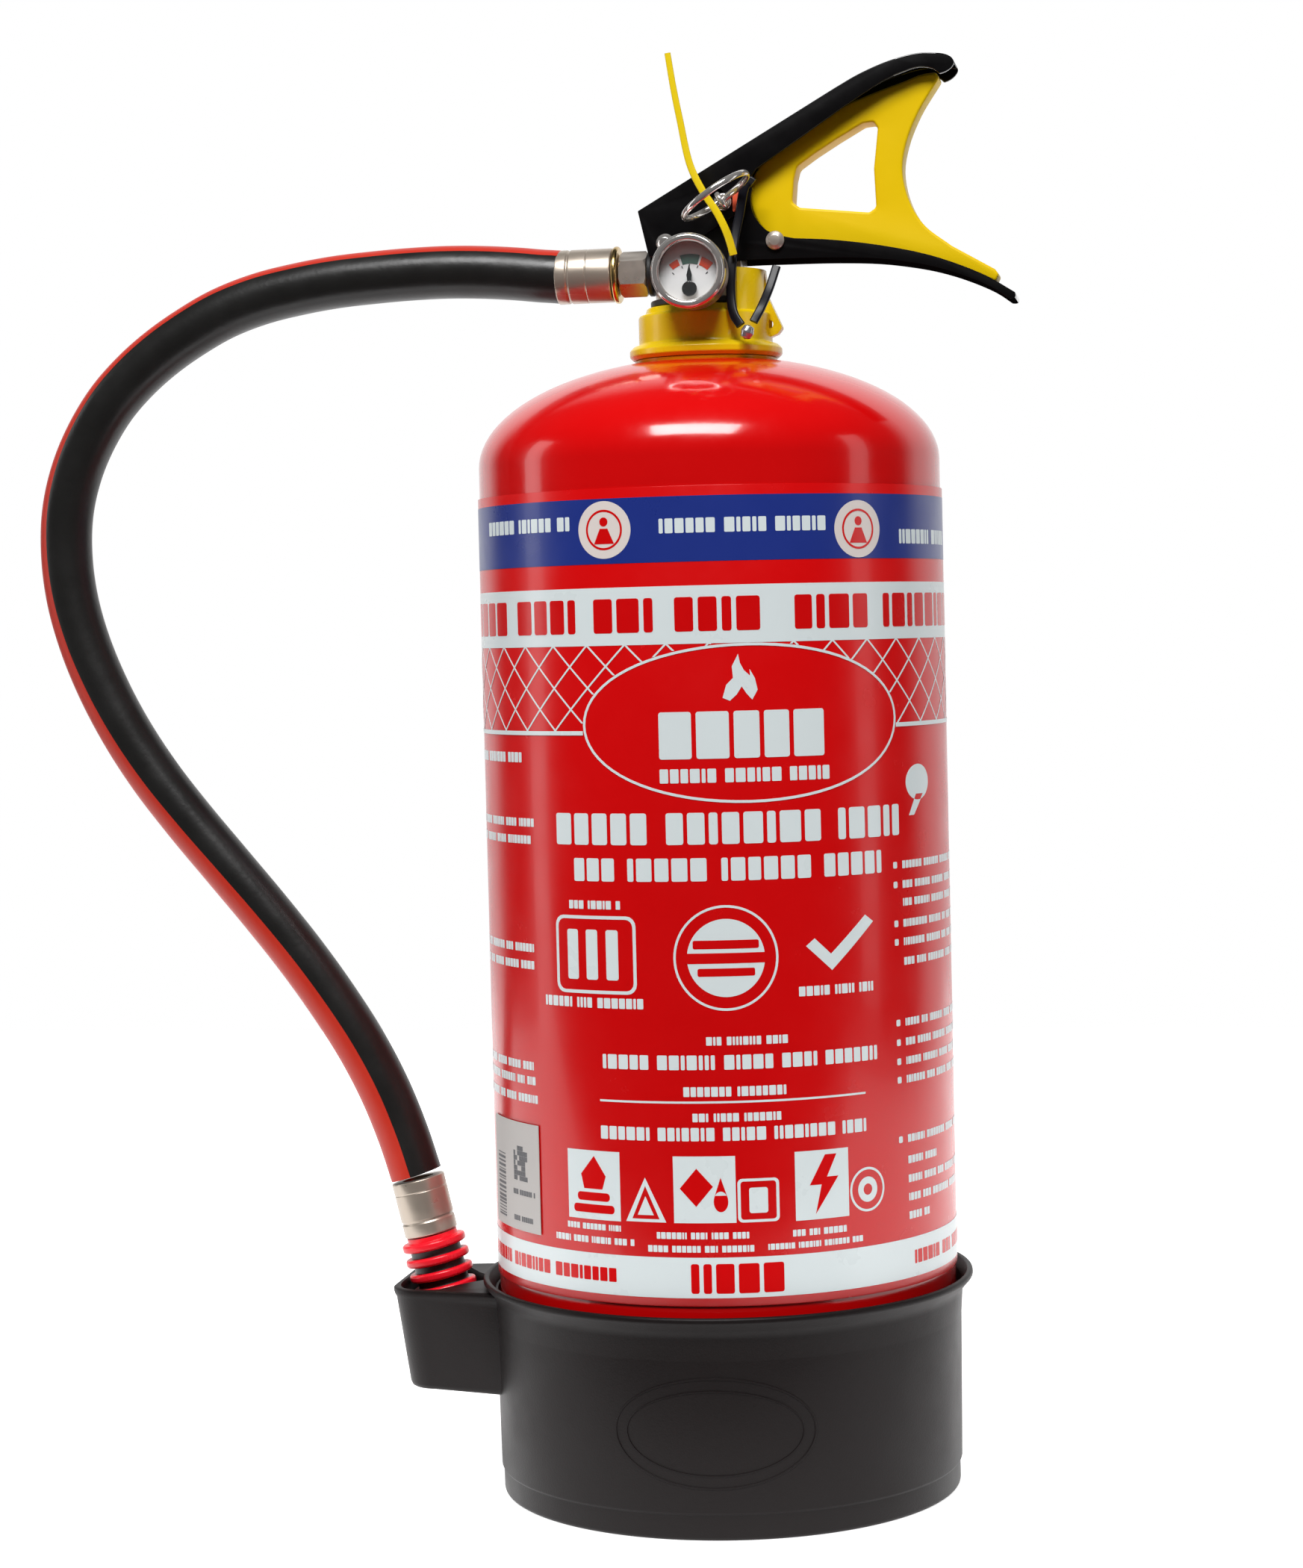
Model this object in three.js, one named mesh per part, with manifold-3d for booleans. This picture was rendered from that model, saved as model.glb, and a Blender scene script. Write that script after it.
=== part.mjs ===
// Stored-pressure dry-powder fire extinguisher, in millimetres with +Z up.
// The origin is on the cylinder's axis at the underside of the boot. The gauge faces -Y, the
// lever and the carry handle reach out along +X, and the hose leaves the valve along -X.
import * as THREE from "three";
import { mergeVertices } from "three/addons/utils/BufferGeometryUtils.js";
import Module from "manifold-3d";

const wasm = await Module();
wasm.setup();

// Driving dimensions
const GAP = 0.3; // left between parts that touch
const WELD = 1e-3;

const CYLINDER = { r: 80, wall: 2, bottomZ: 3.3, bottomRise: 34, shoulderZ: 357, headRise: 37 };
const NECK = { rOuter: 17, rInner: 12.4, z0: 383, z1: 400 };
const COLLAR = {
  bore: 17.4,
  flangeR: 26.5,
  z0: 393.4,
  flangeZ: 397.4,
  bodyR: 23.2,
  stepZ: 409,
  topR: 20.5,
  topZ: 411.3,
};
const UPRIGHT = { rInner: 19.6, rOuter: 21.6, height: 13.7, reach: 50 }; // the collar's raised wall
const TAB_HALF = 2.5;
const PLUG = { r: 12, z0: 376 };
const FLANGE = { r: 17, z0: 414.1, z1: 418 };
const BODY = { r: 14, z1: 425.2, blockX0: -15.5, blockX1: 14, blockY: 7.9, blockZ: 437 };
const SEAT_Z = 401.3;
const GLAND = { r: 5, z0: 428, hexR: 6.6, hexZ: 440.4 };

const TUBE = { rOuter: 6, rInner: 4.2, z0: 16, z1: 381.5 };
const POWDER = { r: 77.4, z0: 20, z1: 322 };

const OUTLET_Z = 424;
const WASHER = { x0: -17.5, x1: -19.2, r: 7.9 };
const NUT = { x0: -19.6, x1: -29.2, cornerR: 7.95 };
const FERRULE = { x0: -31.8, x1: -51.6, r: 9.35 };
const FERRULE_RING = { x0: -29.6, x1: -31.5, r: 9.9 };
const TAIL = { r: 4.2, bore: 2.6, x0: -14.9, x1: -51.4 };
const HOSE_R = 9.2;

const PIVOT = { x: -11.3, z: 432.8, r: 2.5, headR: 3.2 };
const LEVER = { halfWidth: 12, sheet: 1.6 };
const HANDLE = { halfWidth: 9.8, sheet: 1.6 };
const GUARD_HALF = 6;
const PIN = { x: 9.2, z: 445.8, r: 1.6, y0: -15.2, y1: 15.5 };
const LEVER_TRAVEL = THREE.MathUtils.degToRad(12);
const RING = { r: 13, tilt: THREE.MathUtils.degToRad(33), eyeY: -17.4 };

const GAUGE = { z: 420.6, caseR: 12.2, backY: -22, lipY: -35, bezelR: 12.7, dialR: 10.6, hubZ: 414.8 };

const BOOT = { r: 81.7, footR: 80.3, floor: 3, rimZ: 75, lipR: 86, inner: 80.4 };
// The pocket's outline runs straight from the boot at (rootX, rootY) to a rounded left end, and
// is drawn in towards its foot
const POCKET = { z0: 35.2, z1: 70.8, floor: 1.5, rootX: -74, rootY: 29.3, corner: 11 };
const POCKET_TOP = { left: -117.5, frontY: 24.5 };
const POCKET_FOOT = { left: -112.3, frontY: 22.5 };
const NOZZLE_LEAN = THREE.MathUtils.degToRad(13);
const NOZZLE_TOP = [-111.4, 106.5]; // where the hose enters the lower ferrule, x and z

const LABEL = { r0: 80.3, r1: 80.6, z0: 78, z1: 346.5 };
const STICKER = { r0: 80.9, r1: 81.15, z0: 97.5, z1: 134.5, az0: -158, az1: -131.5 };

const SEGMENTS = 40;

// Colours, roughness and metalness
const LOOKS = {
  red: [0xc8100c, 0.25, 0.1],
  black: [0x1b1a1c, 0.45, 0],
  gloss: [0x0d0d10, 0.2, 0],
  yellow: [0xe6c400, 0.4, 0],
  chrome: [0xd8d8d8, 0.15, 1],
  nickel: [0xb9b2a8, 0.3, 1],
  brass: [0xc79a3c, 0.3, 1],
  rubber: [0x202022, 0.7, 0],
  white: [0xf0f0f0, 0.5, 0],
  glass: [0xe8f0f4, 0.05, 0],
  powder: [0xf2e7a8, 0.9, 0],
  flag: [0xd8401c, 0.4, 0],
};

// Closed meshes

function weld(geometry) {
  const bare = new THREE.BufferGeometry();
  bare.setAttribute("position", geometry.getAttribute("position").clone());
  if (geometry.index) bare.setIndex(geometry.index.clone());
  const merged = mergeVertices(bare, WELD);
  const corner = Array.from({ length: 3 }, () => new THREE.Vector3());
  const position = merged.getAttribute("position");
  const source = merged.index.array;
  const kept = [];
  let volume = 0;
  for (let i = 0; i < source.length; i += 3) {
    const ids = [source[i], source[i + 1], source[i + 2]];
    if (new Set(ids).size < 3) continue;
    kept.push(...ids);
    ids.forEach((id, k) => corner[k].fromBufferAttribute(position, id));
    volume += corner[0].dot(corner[1].clone().cross(corner[2]));
  }
  if (volume < 0) kept.reverse();
  merged.setIndex(kept);
  return merged;
}

function toSolid(geometry) {
  const welded = weld(geometry);
  const vertProperties = new Float32Array(welded.getAttribute("position").array);
  const triVerts = new Uint32Array(welded.index.array);
  return new wasm.Manifold(new wasm.Mesh({ numProp: 3, vertProperties, triVerts }));
}

function toGeometry(solid) {
  const mesh = solid.getMesh();
  const geometry = new THREE.BufferGeometry();
  geometry.setAttribute("position", new THREE.BufferAttribute(Float32Array.from(mesh.vertProperties), 3));
  geometry.setIndex(Array.from(mesh.triVerts));
  return weld(geometry);
}

const join = (...shapes) => toGeometry(shapes.map(toSolid).reduce((a, b) => a.add(b)));
const cut = (shape, ...tools) =>
  toGeometry(tools.map(toSolid).reduce((a, b) => a.subtract(b), toSolid(shape)));
const meet = (shape, tool) => toGeometry(toSolid(shape).intersect(toSolid(tool)));

// A profile of [radius, height] corners or Path pieces turned about Z
function turned(profile, segments = SEGMENTS) {
  const points = (profile instanceof THREE.Path ? profile.getPoints(6) : profile).map((p) =>
    p.isVector2 ? p : new THREE.Vector2(...p),
  );
  const first = points[0];
  const last = points.at(-1);
  if (first.x > WELD || last.x > WELD) points.push(first.clone());
  return weld(new THREE.LatheGeometry(points, segments).rotateX(Math.PI / 2));
}

const ring = (rIn, rOut, z0, z1, segments) =>
  turned([[rIn, z0], [rOut, z0], [rOut, z1], [rIn, z1]], segments);

const disc = (r, z0, z1, segments) => turned([[0, z0], [r, z0], [r, z1], [0, z1]], segments);

// Turned shapes laid along X or Y, their own height running from the first to the last value
const alongX = (geometry, y, z) => geometry.clone().rotateY(Math.PI / 2).translate(0, y, z);
const alongY = (geometry, x, z) => geometry.clone().rotateX(-Math.PI / 2).translate(x, 0, z);

// Turned about the outlet's axis; heights are distances to the left of the cylinder's axis
const atOutlet = (geometry) => alongX(geometry, 0, 0).rotateZ(Math.PI).translate(0, 0, OUTLET_Z);

// A Shape drawn in X and Z, with its thickness from y0 to y1
function plate(shape, y0, y1, curveSegments = 3) {
  const geometry = new THREE.ExtrudeGeometry(shape, { depth: y1 - y0, bevelEnabled: false, curveSegments });
  return weld(geometry.rotateX(Math.PI / 2).translate(0, y1, 0));
}

function outline(points) {
  return new THREE.Shape(points.map((p) => new THREE.Vector2(...p)));
}

const box = (x0, x1, y0, y1, z0, z1) =>
  new THREE.BoxGeometry(x1 - x0, y1 - y0, z1 - z0).translate((x0 + x1) / 2, (y0 + y1) / 2, (z0 + z1) / 2);

// A round or flat section swept along a curve
function swept(curve, steps, section) {
  const settings = { steps, bevelEnabled: false, extrudePath: curve, curveSegments: 2 };
  return weld(new THREE.ExtrudeGeometry(section, settings));
}

function polygonSection(radius, sides) {
  const corners = Array.from({ length: sides }, (_, i) => {
    const angle = (2 * Math.PI * (i + 0.5)) / sides;
    return [radius * Math.cos(angle), radius * Math.sin(angle)];
  });
  return outline(corners);
}

function spline(points) {
  const vectors = points.map((p) => new THREE.Vector3(...p));
  return new THREE.CatmullRomCurve3(vectors, false, "centripetal");
}

const vectors2 = (points, lift = 0) => points.map(([x, z]) => new THREE.Vector2(x, z + lift));

// A wall between two outlines with equally many points, the lower one at z0 and the upper at z1
function lofted(lower, upper, z0, z1) {
  const count = lower.length;
  const corners = [...lower.map((p) => [p.x, p.y, z0]), ...upper.map((p) => [p.x, p.y, z1])];
  const faces = [];
  for (let i = 0; i < count; i += 1) {
    const next = (i + 1) % count;
    faces.push(i, next, next + count, i, next + count, i + count);
  }
  for (const [a, b, c] of THREE.ShapeUtils.triangulateShape(lower, [])) {
    faces.push(c, b, a);
    faces.push(a + count, b + count, c + count);
  }
  const geometry = new THREE.BufferGeometry();
  geometry.setAttribute("position", new THREE.Float32BufferAttribute(corners.flat(), 3));
  geometry.setIndex(faces);
  return weld(geometry);
}

// The scene
const extinguisher = new THREE.Group();

function add(name, geometry, look) {
  const [color, roughness, metalness] = LOOKS[look];
  const mesh = new THREE.Mesh(geometry, new THREE.MeshStandardMaterial({ color, roughness, metalness }));
  mesh.name = name;
  extinguisher.add(mesh);
}

// Pressure vessel

function vesselProfile(inset, neckR, steps = 6) {
  const { r, bottomZ, bottomRise, shoulderZ, headRise } = CYLINDER;
  const points = [];
  for (let i = 0; i <= steps; i += 1) {
    const a = (i / steps) * (Math.PI / 2);
    points.push([(r - inset) * Math.sin(a), bottomZ + bottomRise - (bottomRise - inset) * Math.cos(a)]);
  }
  const neckAngle = Math.acos(neckR / (r - inset));
  for (let i = 0; i <= steps; i += 1) {
    const a = (i / steps) * neckAngle;
    points.push([(r - inset) * Math.cos(a), shoulderZ + (headRise - inset) * Math.sin(a)]);
  }
  return points;
}

function addVessel() {
  const neckHole = NECK.rOuter + GAP;
  const outer = vesselProfile(0, neckHole);
  const inner = vesselProfile(CYLINDER.wall, neckHole).reverse();
  add("cylinder_shell", turned([...outer, ...inner]), "red");
  add("neck_ring", ring(NECK.rInner, NECK.rOuter, NECK.z0, NECK.z1, 32), "red");
  const clearTube = TUBE.rOuter + GAP;
  const powder = [
    [clearTube, POWDER.z0],
    [58, POWDER.z0],
    [POWDER.r, 44],
    [POWDER.r, POWDER.z1],
    [clearTube, POWDER.z1],
  ];
  add("powder_charge", turned(powder, 32), "powder");
  add("siphon_tube", ring(TUBE.rInner, TUBE.rOuter, TUBE.z0, TUBE.z1, 16), "white");
}

function addLabels() {
  add("body_label", ring(LABEL.r0, LABEL.r1, LABEL.z0, LABEL.z1), "red");
  const { r0, r1, z0, z1, az0, az1 } = STICKER;
  const shape = new THREE.Shape();
  const [start, end] = [az0, az1].map(THREE.MathUtils.degToRad);
  shape.absarc(0, 0, r1, start, end, false);
  shape.absarc(0, 0, r0, end, start, true);
  const sheet = new THREE.ExtrudeGeometry(shape, { depth: z1 - z0, bevelEnabled: false, curveSegments: 8 });
  add("service_sticker", weld(sheet.translate(0, 0, z0)), "white");
}

// Boot with its nozzle pocket

// Half of the pocket's plan from the boot to the left end, and its mirror image back to the boot
function pocketPlan({ left, frontY }) {
  const { rootX, rootY, corner } = POCKET;
  const shape = new THREE.Shape();
  shape.moveTo(rootX, -rootY);
  shape.lineTo(left + corner, -frontY);
  shape.absarc(left + corner, corner - frontY, corner, -Math.PI / 2, -Math.PI, true);
  shape.absarc(left + corner, frontY - corner, corner, Math.PI, Math.PI / 2, true);
  shape.lineTo(rootX, rootY);
  return shape.getPoints(4).reverse();
}

// The pocket's hollow, a rounded left end that runs to a point beside the cylinder
function hollowPlan({ left, frontY }) {
  const wall = 2.4;
  const edge = frontY - wall;
  const shape = new THREE.Shape();
  shape.moveTo(-85.8, 0);
  shape.lineTo(-99.5, 1 - edge);
  shape.quadraticCurveTo(-102, -edge, -106, -edge);
  shape.quadraticCurveTo(left + wall, -edge, left + wall, -7);
  shape.lineTo(left + wall, 7);
  shape.quadraticCurveTo(left + wall, edge, -106, edge);
  shape.quadraticCurveTo(-102, edge, -99.5, edge - 1);
  shape.closePath();
  return shape.getPoints(4).slice(0, -1).reverse();
}

function addBoot() {
  const { r, footR, floor, rimZ, lipR, inner } = BOOT;
  const cup = turned([
    [0, 0],
    [footR - 1, 0],
    [footR, 1],
    [footR, 8.5],
    [r - 0.6, 9.5],
    [r, 60],
    [r + 0.6, 69],
    [lipR - 0.6, rimZ - 1],
    [lipR, rimZ],
    [lipR - 1.6, rimZ],
    [r + 0.2, 71],
    [inner, 66],
    [inner, 36],
    [77, 22],
    [66, 12],
    [40, floor],
    [0, floor],
  ]);
  const { z0, z1, floor: pocketFloor } = POCKET;
  const pocket = lofted(pocketPlan(POCKET_FOOT), pocketPlan(POCKET_TOP), z0, z1);
  const hollow = lofted(hollowPlan(POCKET_FOOT), hollowPlan(POCKET_TOP), z0 + pocketFloor, z1 + 0.1);
  const bore = disc(inner + 0.4, z0 - 1, rimZ, SEGMENTS);
  add("base_boot", join(cup, cut(pocket, hollow, bore)), "black");
}

// Valve

function addValveBody() {
  const shaft = turned(
    [
      [0, PLUG.z0],
      [PLUG.r, PLUG.z0],
      [PLUG.r, FLANGE.z0],
      [FLANGE.r, FLANGE.z0],
      [FLANGE.r, FLANGE.z1 - 0.6],
      [FLANGE.r - 0.6, FLANGE.z1],
      [BODY.r, FLANGE.z1],
      [BODY.r, BODY.z1 - 0.8],
      [BODY.r - 0.8, BODY.z1],
      [0, BODY.z1],
    ],
    24,
  );
  const block = meet(
    box(BODY.blockX0, BODY.blockX1, -BODY.blockY, BODY.blockY, BODY.z1 - 2, BODY.blockZ),
    disc(16.5, BODY.z1 - 3, BODY.blockZ + 1, 24),
  );
  const outletBoss = atOutlet(disc(7, -WASHER.x0 - 8, -WASHER.x0 - GAP, 24));
  const gaugeBoss = alongY(disc(5, GAUGE.backY + 4.2, -10, 20), 0, GAUGE.z);
  const bores = [
    disc(TUBE.rOuter + GAP, PLUG.z0 - 1, SEAT_Z - 0.01, 16),
    disc(3.2, SEAT_Z - 1, GLAND.z0 + 0.1, 12),
    disc(GLAND.r + GAP, GLAND.z0, BODY.blockZ + 1, 16),
    atOutlet(disc(TAIL.r + GAP, 14.6, 19, 20)),
    atOutlet(disc(TAIL.bore, 0, 15, 16)),
    alongY(disc(1.5, GAUGE.backY, -1, 12), 0, GAUGE.z),
    alongY(disc(PIVOT.r + 0.05, -20, 20, 20), PIVOT.x, PIVOT.z),
  ];
  add("valve_body", cut(join(shaft, block, outletBoss, gaugeBoss), ...bores), "nickel");
  const gasketR = 19.2;
  add("neck_gasket", ring(PLUG.r + GAP, gasketR, COLLAR.topZ + GAP, FLANGE.z0 - GAP, 24), "rubber");
}

// The gland nut's bore guides the stem, and its O-ring sits below it
function addGland() {
  const bore = 2.6;
  const threadZ = GLAND.z0 + 2.4;
  const headZ = BODY.blockZ + GAP;
  const thread = ring(bore, GLAND.r, threadZ, headZ, 16);
  const hexagon = disc(GLAND.hexR, headZ - 0.01, GLAND.hexZ, 6);
  const hexHead = cut(hexagon, disc(bore, BODY.blockZ, GLAND.hexZ + 1, 16));
  add("gland_nut", join(thread, hexHead), "brass");
  const seal = new THREE.Path().absellipse(3.6, GLAND.z0 + 1.2, 0.85, 0.85, 0, 2 * Math.PI, false, 0);
  add("gland_o_ring", turned(seal.getPoints(3).slice(0, -1), 16), "rubber");
}

function addCollar() {
  const { bore, flangeR, z0, flangeZ, bodyR, stepZ, topR, topZ } = COLLAR;
  const body = turned(
    [
      [bore, z0],
      [flangeR - 1, z0],
      [flangeR, z0 + 1],
      [flangeR, flangeZ - 1.2],
      [flangeR - 1.2, flangeZ],
      [bodyR + 0.6, flangeZ],
      [bodyR, flangeZ + 0.8],
      [bodyR, stepZ - 1.4],
      [bodyR - 1.4, stepZ],
      [topR, stepZ + 0.4],
      [topR - 0.6, topZ],
      [PLUG.r + GAP, topZ],
      [PLUG.r + GAP, NECK.z1 + GAP],
      [bore, NECK.z1 + GAP],
    ],
    28,
  );
  const wall = new THREE.Shape();
  const reach = THREE.MathUtils.degToRad(UPRIGHT.reach);
  wall.absarc(0, 0, UPRIGHT.rOuter, -reach, reach, false);
  wall.absarc(0, 0, UPRIGHT.rInner, reach, -reach, true);
  const settings = { depth: UPRIGHT.height, bevelEnabled: false, curveSegments: 6 };
  const upright = new THREE.ExtrudeGeometry(wall, settings).translate(0, 0, stepZ + 0.6);
  const tabSide = outline([
    [18, 399],
    [20.6, 399.3],
    [25.6, 401.3],
    [27.2, 403.3],
    [22.4, 414],
    [21.4, 423.3],
    [20, 423.3],
    [20, 411],
    [18, 410],
  ]);
  const hole = alongY(disc(1.5, -4, 4, 16), 22.6, 404.6);
  add("neck_collar", cut(join(body, upright, plate(tabSide, -TAB_HALF, TAB_HALF)), hole), "yellow");
}

// Handle, lever and guard, each drawn as a side outline in X and Z

// Height of the lever's flat top at x, and of the underside of its web
const LEVER_SLOPE = 0.5574;
const leverTop = (x) => 444.3 + (x + 20.9) * LEVER_SLOPE;
const webBelow = LEVER.sheet * Math.hypot(1, LEVER_SLOPE);

function leverOutline(drop, reach) {
  // The web's upper line lowered by drop, with the cheeks' lower edge or, for the inside, far below
  const shape = new THREE.Shape();
  shape.moveTo(-20.9 - reach, leverTop(-20.9 - reach) - drop);
  shape.lineTo(48, leverTop(48) - drop);
  shape.splineThru(vectors2([[56.5, 487.1], [66.8, 491], [77, 493.2], [84, 493]], -drop));
  return shape;
}

function addLever() {
  const outer = leverOutline(0, 0);
  outer.quadraticCurveTo(88.6, 492.4, 88.8, 489.6);
  outer.quadraticCurveTo(87.6, 486.8, 83.8, 486);
  outer.lineTo(81.6, 487.8);
  outer.lineTo(76.7, 488.4);
  outer.lineTo(71.9, 487.1);
  outer.lineTo(65.7, 484.8);
  outer.lineTo(59, 481);
  outer.lineTo(51.3, 476.4);
  outer.lineTo(20.6, 456.8);
  outer.quadraticCurveTo(16, 450.5, 14, 442);
  outer.quadraticCurveTo(8, 438.5, 3, 435.5);
  outer.quadraticCurveTo(-3, 427.4, -11.3, 427.2);
  outer.lineTo(-17.4, 428.6);
  outer.closePath();
  const inner = leverOutline(webBelow, 6);
  inner.lineTo(92, 489.6);
  inner.lineTo(92, 420);
  inner.lineTo(-26.9, 420);
  inner.closePath();
  const inside = LEVER.halfWidth - LEVER.sheet;
  const bores = [alongY(disc(PIVOT.r + 0.05, -20, 20, 20), PIVOT.x, PIVOT.z), pinSlot()];
  const solid = plate(outer, -LEVER.halfWidth, LEVER.halfWidth);
  add("squeeze_lever", cut(solid, plate(inner, -inside, inside), ...bores), "black");
}

// The pin's hole in the cheeks is drawn out along the arc that the pin makes in the turning lever
function pinSlot() {
  const reach = Math.hypot(PIN.x - PIVOT.x, PIN.z - PIVOT.z);
  const start = Math.atan2(PIN.z - PIVOT.z, PIN.x - PIVOT.x);
  const half = PIN.r + 0.4;
  const end = start + LEVER_TRAVEL;
  const shape = new THREE.Shape();
  shape.absarc(PIVOT.x, PIVOT.z, reach + half, start, end, false);
  const [endX, endZ] = [PIVOT.x + reach * Math.cos(end), PIVOT.z + reach * Math.sin(end)];
  shape.absarc(endX, endZ, half, end, end + Math.PI, false);
  shape.absarc(PIVOT.x, PIVOT.z, reach - half, end, start, true);
  shape.absarc(PIN.x, PIN.z, half, start + Math.PI, start + 2 * Math.PI, false);
  return plate(shape, -20, 20, 6);
}

// The handle's underside from the grip's start to its tip
const HANDLE_LOW = [
  [45, 425.8],
  [60, 424.9],
  [70.4, 423.4],
  [80.5, 421.2],
  [90.6, 417.8],
  [100.6, 413.1],
];
const STUD = { x: 26.4, z: 432.4, shankR: 1 };

function addHandle() {
  const outer = new THREE.Shape();
  outer.moveTo(-17, 426);
  outer.lineTo(20, 426.2);
  outer.splineThru(vectors2(HANDLE_LOW));
  outer.lineTo(105.8, 409.4);
  outer.quadraticCurveTo(108.8, 408.8, 107.9, 411.4);
  outer.lineTo(98.2, 417.4);
  outer.splineThru(vectors2([[85.7, 422.9], [75.6, 426.2], [60.4, 429.6], [45, 431.9], [33, 432.9]]));
  outer.quadraticCurveTo(27, 434, 23.5, 436);
  outer.quadraticCurveTo(16.4, 442, 18.8, 450.4);
  outer.lineTo(17.6, 451.8);
  outer.lineTo(-16.4, 441.8);
  outer.closePath();
  const inner = new THREE.Shape();
  inner.moveTo(16.5, 426.2 + HANDLE.sheet);
  inner.lineTo(20, 426.2 + HANDLE.sheet);
  inner.splineThru(vectors2(HANDLE_LOW, HANDLE.sheet + 0.2));
  inner.lineTo(104.5, 412.6);
  inner.lineTo(104.5, 460);
  inner.lineTo(-22, 460);
  inner.lineTo(-22, 420);
  inner.lineTo(16.5, 420);
  inner.closePath();
  const inside = HANDLE.halfWidth - HANDLE.sheet;
  const bores = [
    alongY(disc(PIVOT.r + 0.05, -20, 20, 20), PIVOT.x, PIVOT.z),
    alongY(disc(PIN.r + 0.2, -20, 20, 16), PIN.x, PIN.z),
    alongY(disc(STUD.shankR + 0.2, -20, 20, 16), STUD.x, STUD.z),
  ];
  const solid = plate(outer, -HANDLE.halfWidth, HANDLE.halfWidth);
  add("carry_handle", cut(solid, plate(inner, -inside, inside), ...bores), "black");
}

function addStuds() {
  const r = STUD.shankR;
  const profile = [[0, 8.2], [r, 8.2], [r, 10.1], [3.3, 10.1], [3.1, 11], [1.8, 11.8], [0, 12]];
  const stud = turned(profile, 20);
  add("handle_stud_far", alongY(stud, STUD.x, STUD.z), "nickel");
  add("handle_stud_near", alongY(stud, -STUD.x, STUD.z).rotateZ(Math.PI), "nickel");
}

function addGuard() {
  const shape = new THREE.Shape();
  shape.moveTo(25.2, 428.8);
  shape.lineTo(45, 428.2);
  shape.lineTo(60, 427.3);
  shape.lineTo(72, 425.6);
  shape.lineTo(84, 422.6);
  shape.lineTo(94, 418.9);
  shape.lineTo(101.2, 415.6);
  shape.lineTo(102.4, 418);
  shape.lineTo(101, 419.9);
  shape.lineTo(86.5, 428.4);
  shape.splineThru(
    vectors2([[77.2, 435.9], [72.4, 444], [70.2, 454.5], [71.6, 463.5], [76, 474], [83.4, 485.4]]),
  );
  shape.lineTo(82.2, 487.4);
  shape.lineTo(76.7, 486.7);
  shape.lineTo(71.9, 485);
  shape.lineTo(65.7, 483.1);
  shape.lineTo(59, 480.9);
  shape.lineTo(51.3, 478.2);
  shape.lineTo(24.4, 461.6);
  shape.quadraticCurveTo(17.8, 457, 17.4, 449);
  shape.quadraticCurveTo(17.6, 440.5, 24, 434.2);
  shape.closePath();
  const window = outline([
    [33.9, 457.6],
    [32.8, 453.4],
    [32.1, 445.6],
    [34.6, 443.7],
    [58.5, 441],
    [60.9, 442.6],
    [60.4, 455.8],
    [62, 469.4],
    [60.6, 471.6],
    [56.9, 471.3],
    [47.8, 466.3],
    [40, 461.7],
  ]);
  shape.holes.push(window);
  add("handle_guard", plate(shape, -GUARD_HALF, GUARD_HALF), "yellow");
}

function addPivotPin() {
  const { r, headR } = PIVOT;
  const half = LEVER.halfWidth + GAP;
  const profile = [
    [0, -half - 2.6],
    [headR * 0.6, -half - 2.2],
    [headR, -half - 0.9],
    [headR, -half],
    [r, -half],
    [r, half],
    [headR, half],
    [headR, half + 0.9],
    [headR * 0.6, half + 1.5],
    [0, half + 1.7],
  ];
  add("lever_pivot_pin", alongY(turned(profile, 20), PIVOT.x, PIVOT.z), "chrome");
}

// Stem, its seal and its spring

function addStem() {
  const head = { r: 5.2, z0: 396, z1: 398.5 };
  const rodR = 2.2;
  const stem = [
    [0, head.z0],
    [head.r, head.z0],
    [head.r, head.z1],
    [rodR, head.z1],
    [rodR, 450.2],
    [1.5, 451.6],
    [0, 452.2],
  ];
  add("valve_stem", turned(stem, 20), "nickel");
  add("stem_seal", ring(rodR + GAP, 5, head.z1 + GAP, SEAT_Z - GAP, 20), "rubber");
  const wire = 0.5;
  const spring = { turns: 5, r: 4.9, z0: TUBE.z1 + GAP + wire + 0.1, z1: head.z0 - GAP - wire - 0.1 };
  class Coil extends THREE.Curve {
    getPoint(t, target = new THREE.Vector3()) {
      const angle = 2 * Math.PI * spring.turns * t;
      const z = spring.z0 + (spring.z1 - spring.z0) * t;
      return target.set(spring.r * Math.cos(angle), spring.r * Math.sin(angle), z);
    }
  }
  add("valve_spring", swept(new Coil(), 60, polygonSection(wire, 4)), "chrome");
}

// Safety pin with its ring, tamper strap and tether

function addPin() {
  const { x, z, r, y0, y1 } = PIN;
  const rod = alongY(turned([[0, y0], [r, y0], [r, y1 - 2], [r * 0.6, y1], [0, y1]], 16), x, z);
  const shoulder = alongY(disc(3, y0 + 0.4, y0 + 2.2, 20), x, z);
  const eye = ring(1.7, 3.4, -1, 1, 20).rotateY(Math.PI / 2 - RING.tilt).translate(x, RING.eyeY, z);
  add("safety_pin", join(rod, shoulder, eye), "chrome");
  const section = new THREE.Path().absellipse(RING.r, 0, 0.75, 1.15, 0, 2 * Math.PI, false, 0);
  const band = turned(section.getPoints(2).slice(0, -1), 40);
  add("pull_ring", band.rotateY(-RING.tilt).translate(x, RING.eyeY - RING.r, z), "chrome");
  const flag = plate(outline([[12.6, 447.6], [16.8, 450.2], [15.6, 445.2], [12.6, 441.8]]), -14.4, -12.9);
  add("pin_flag", flag, "flag");
}

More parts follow.
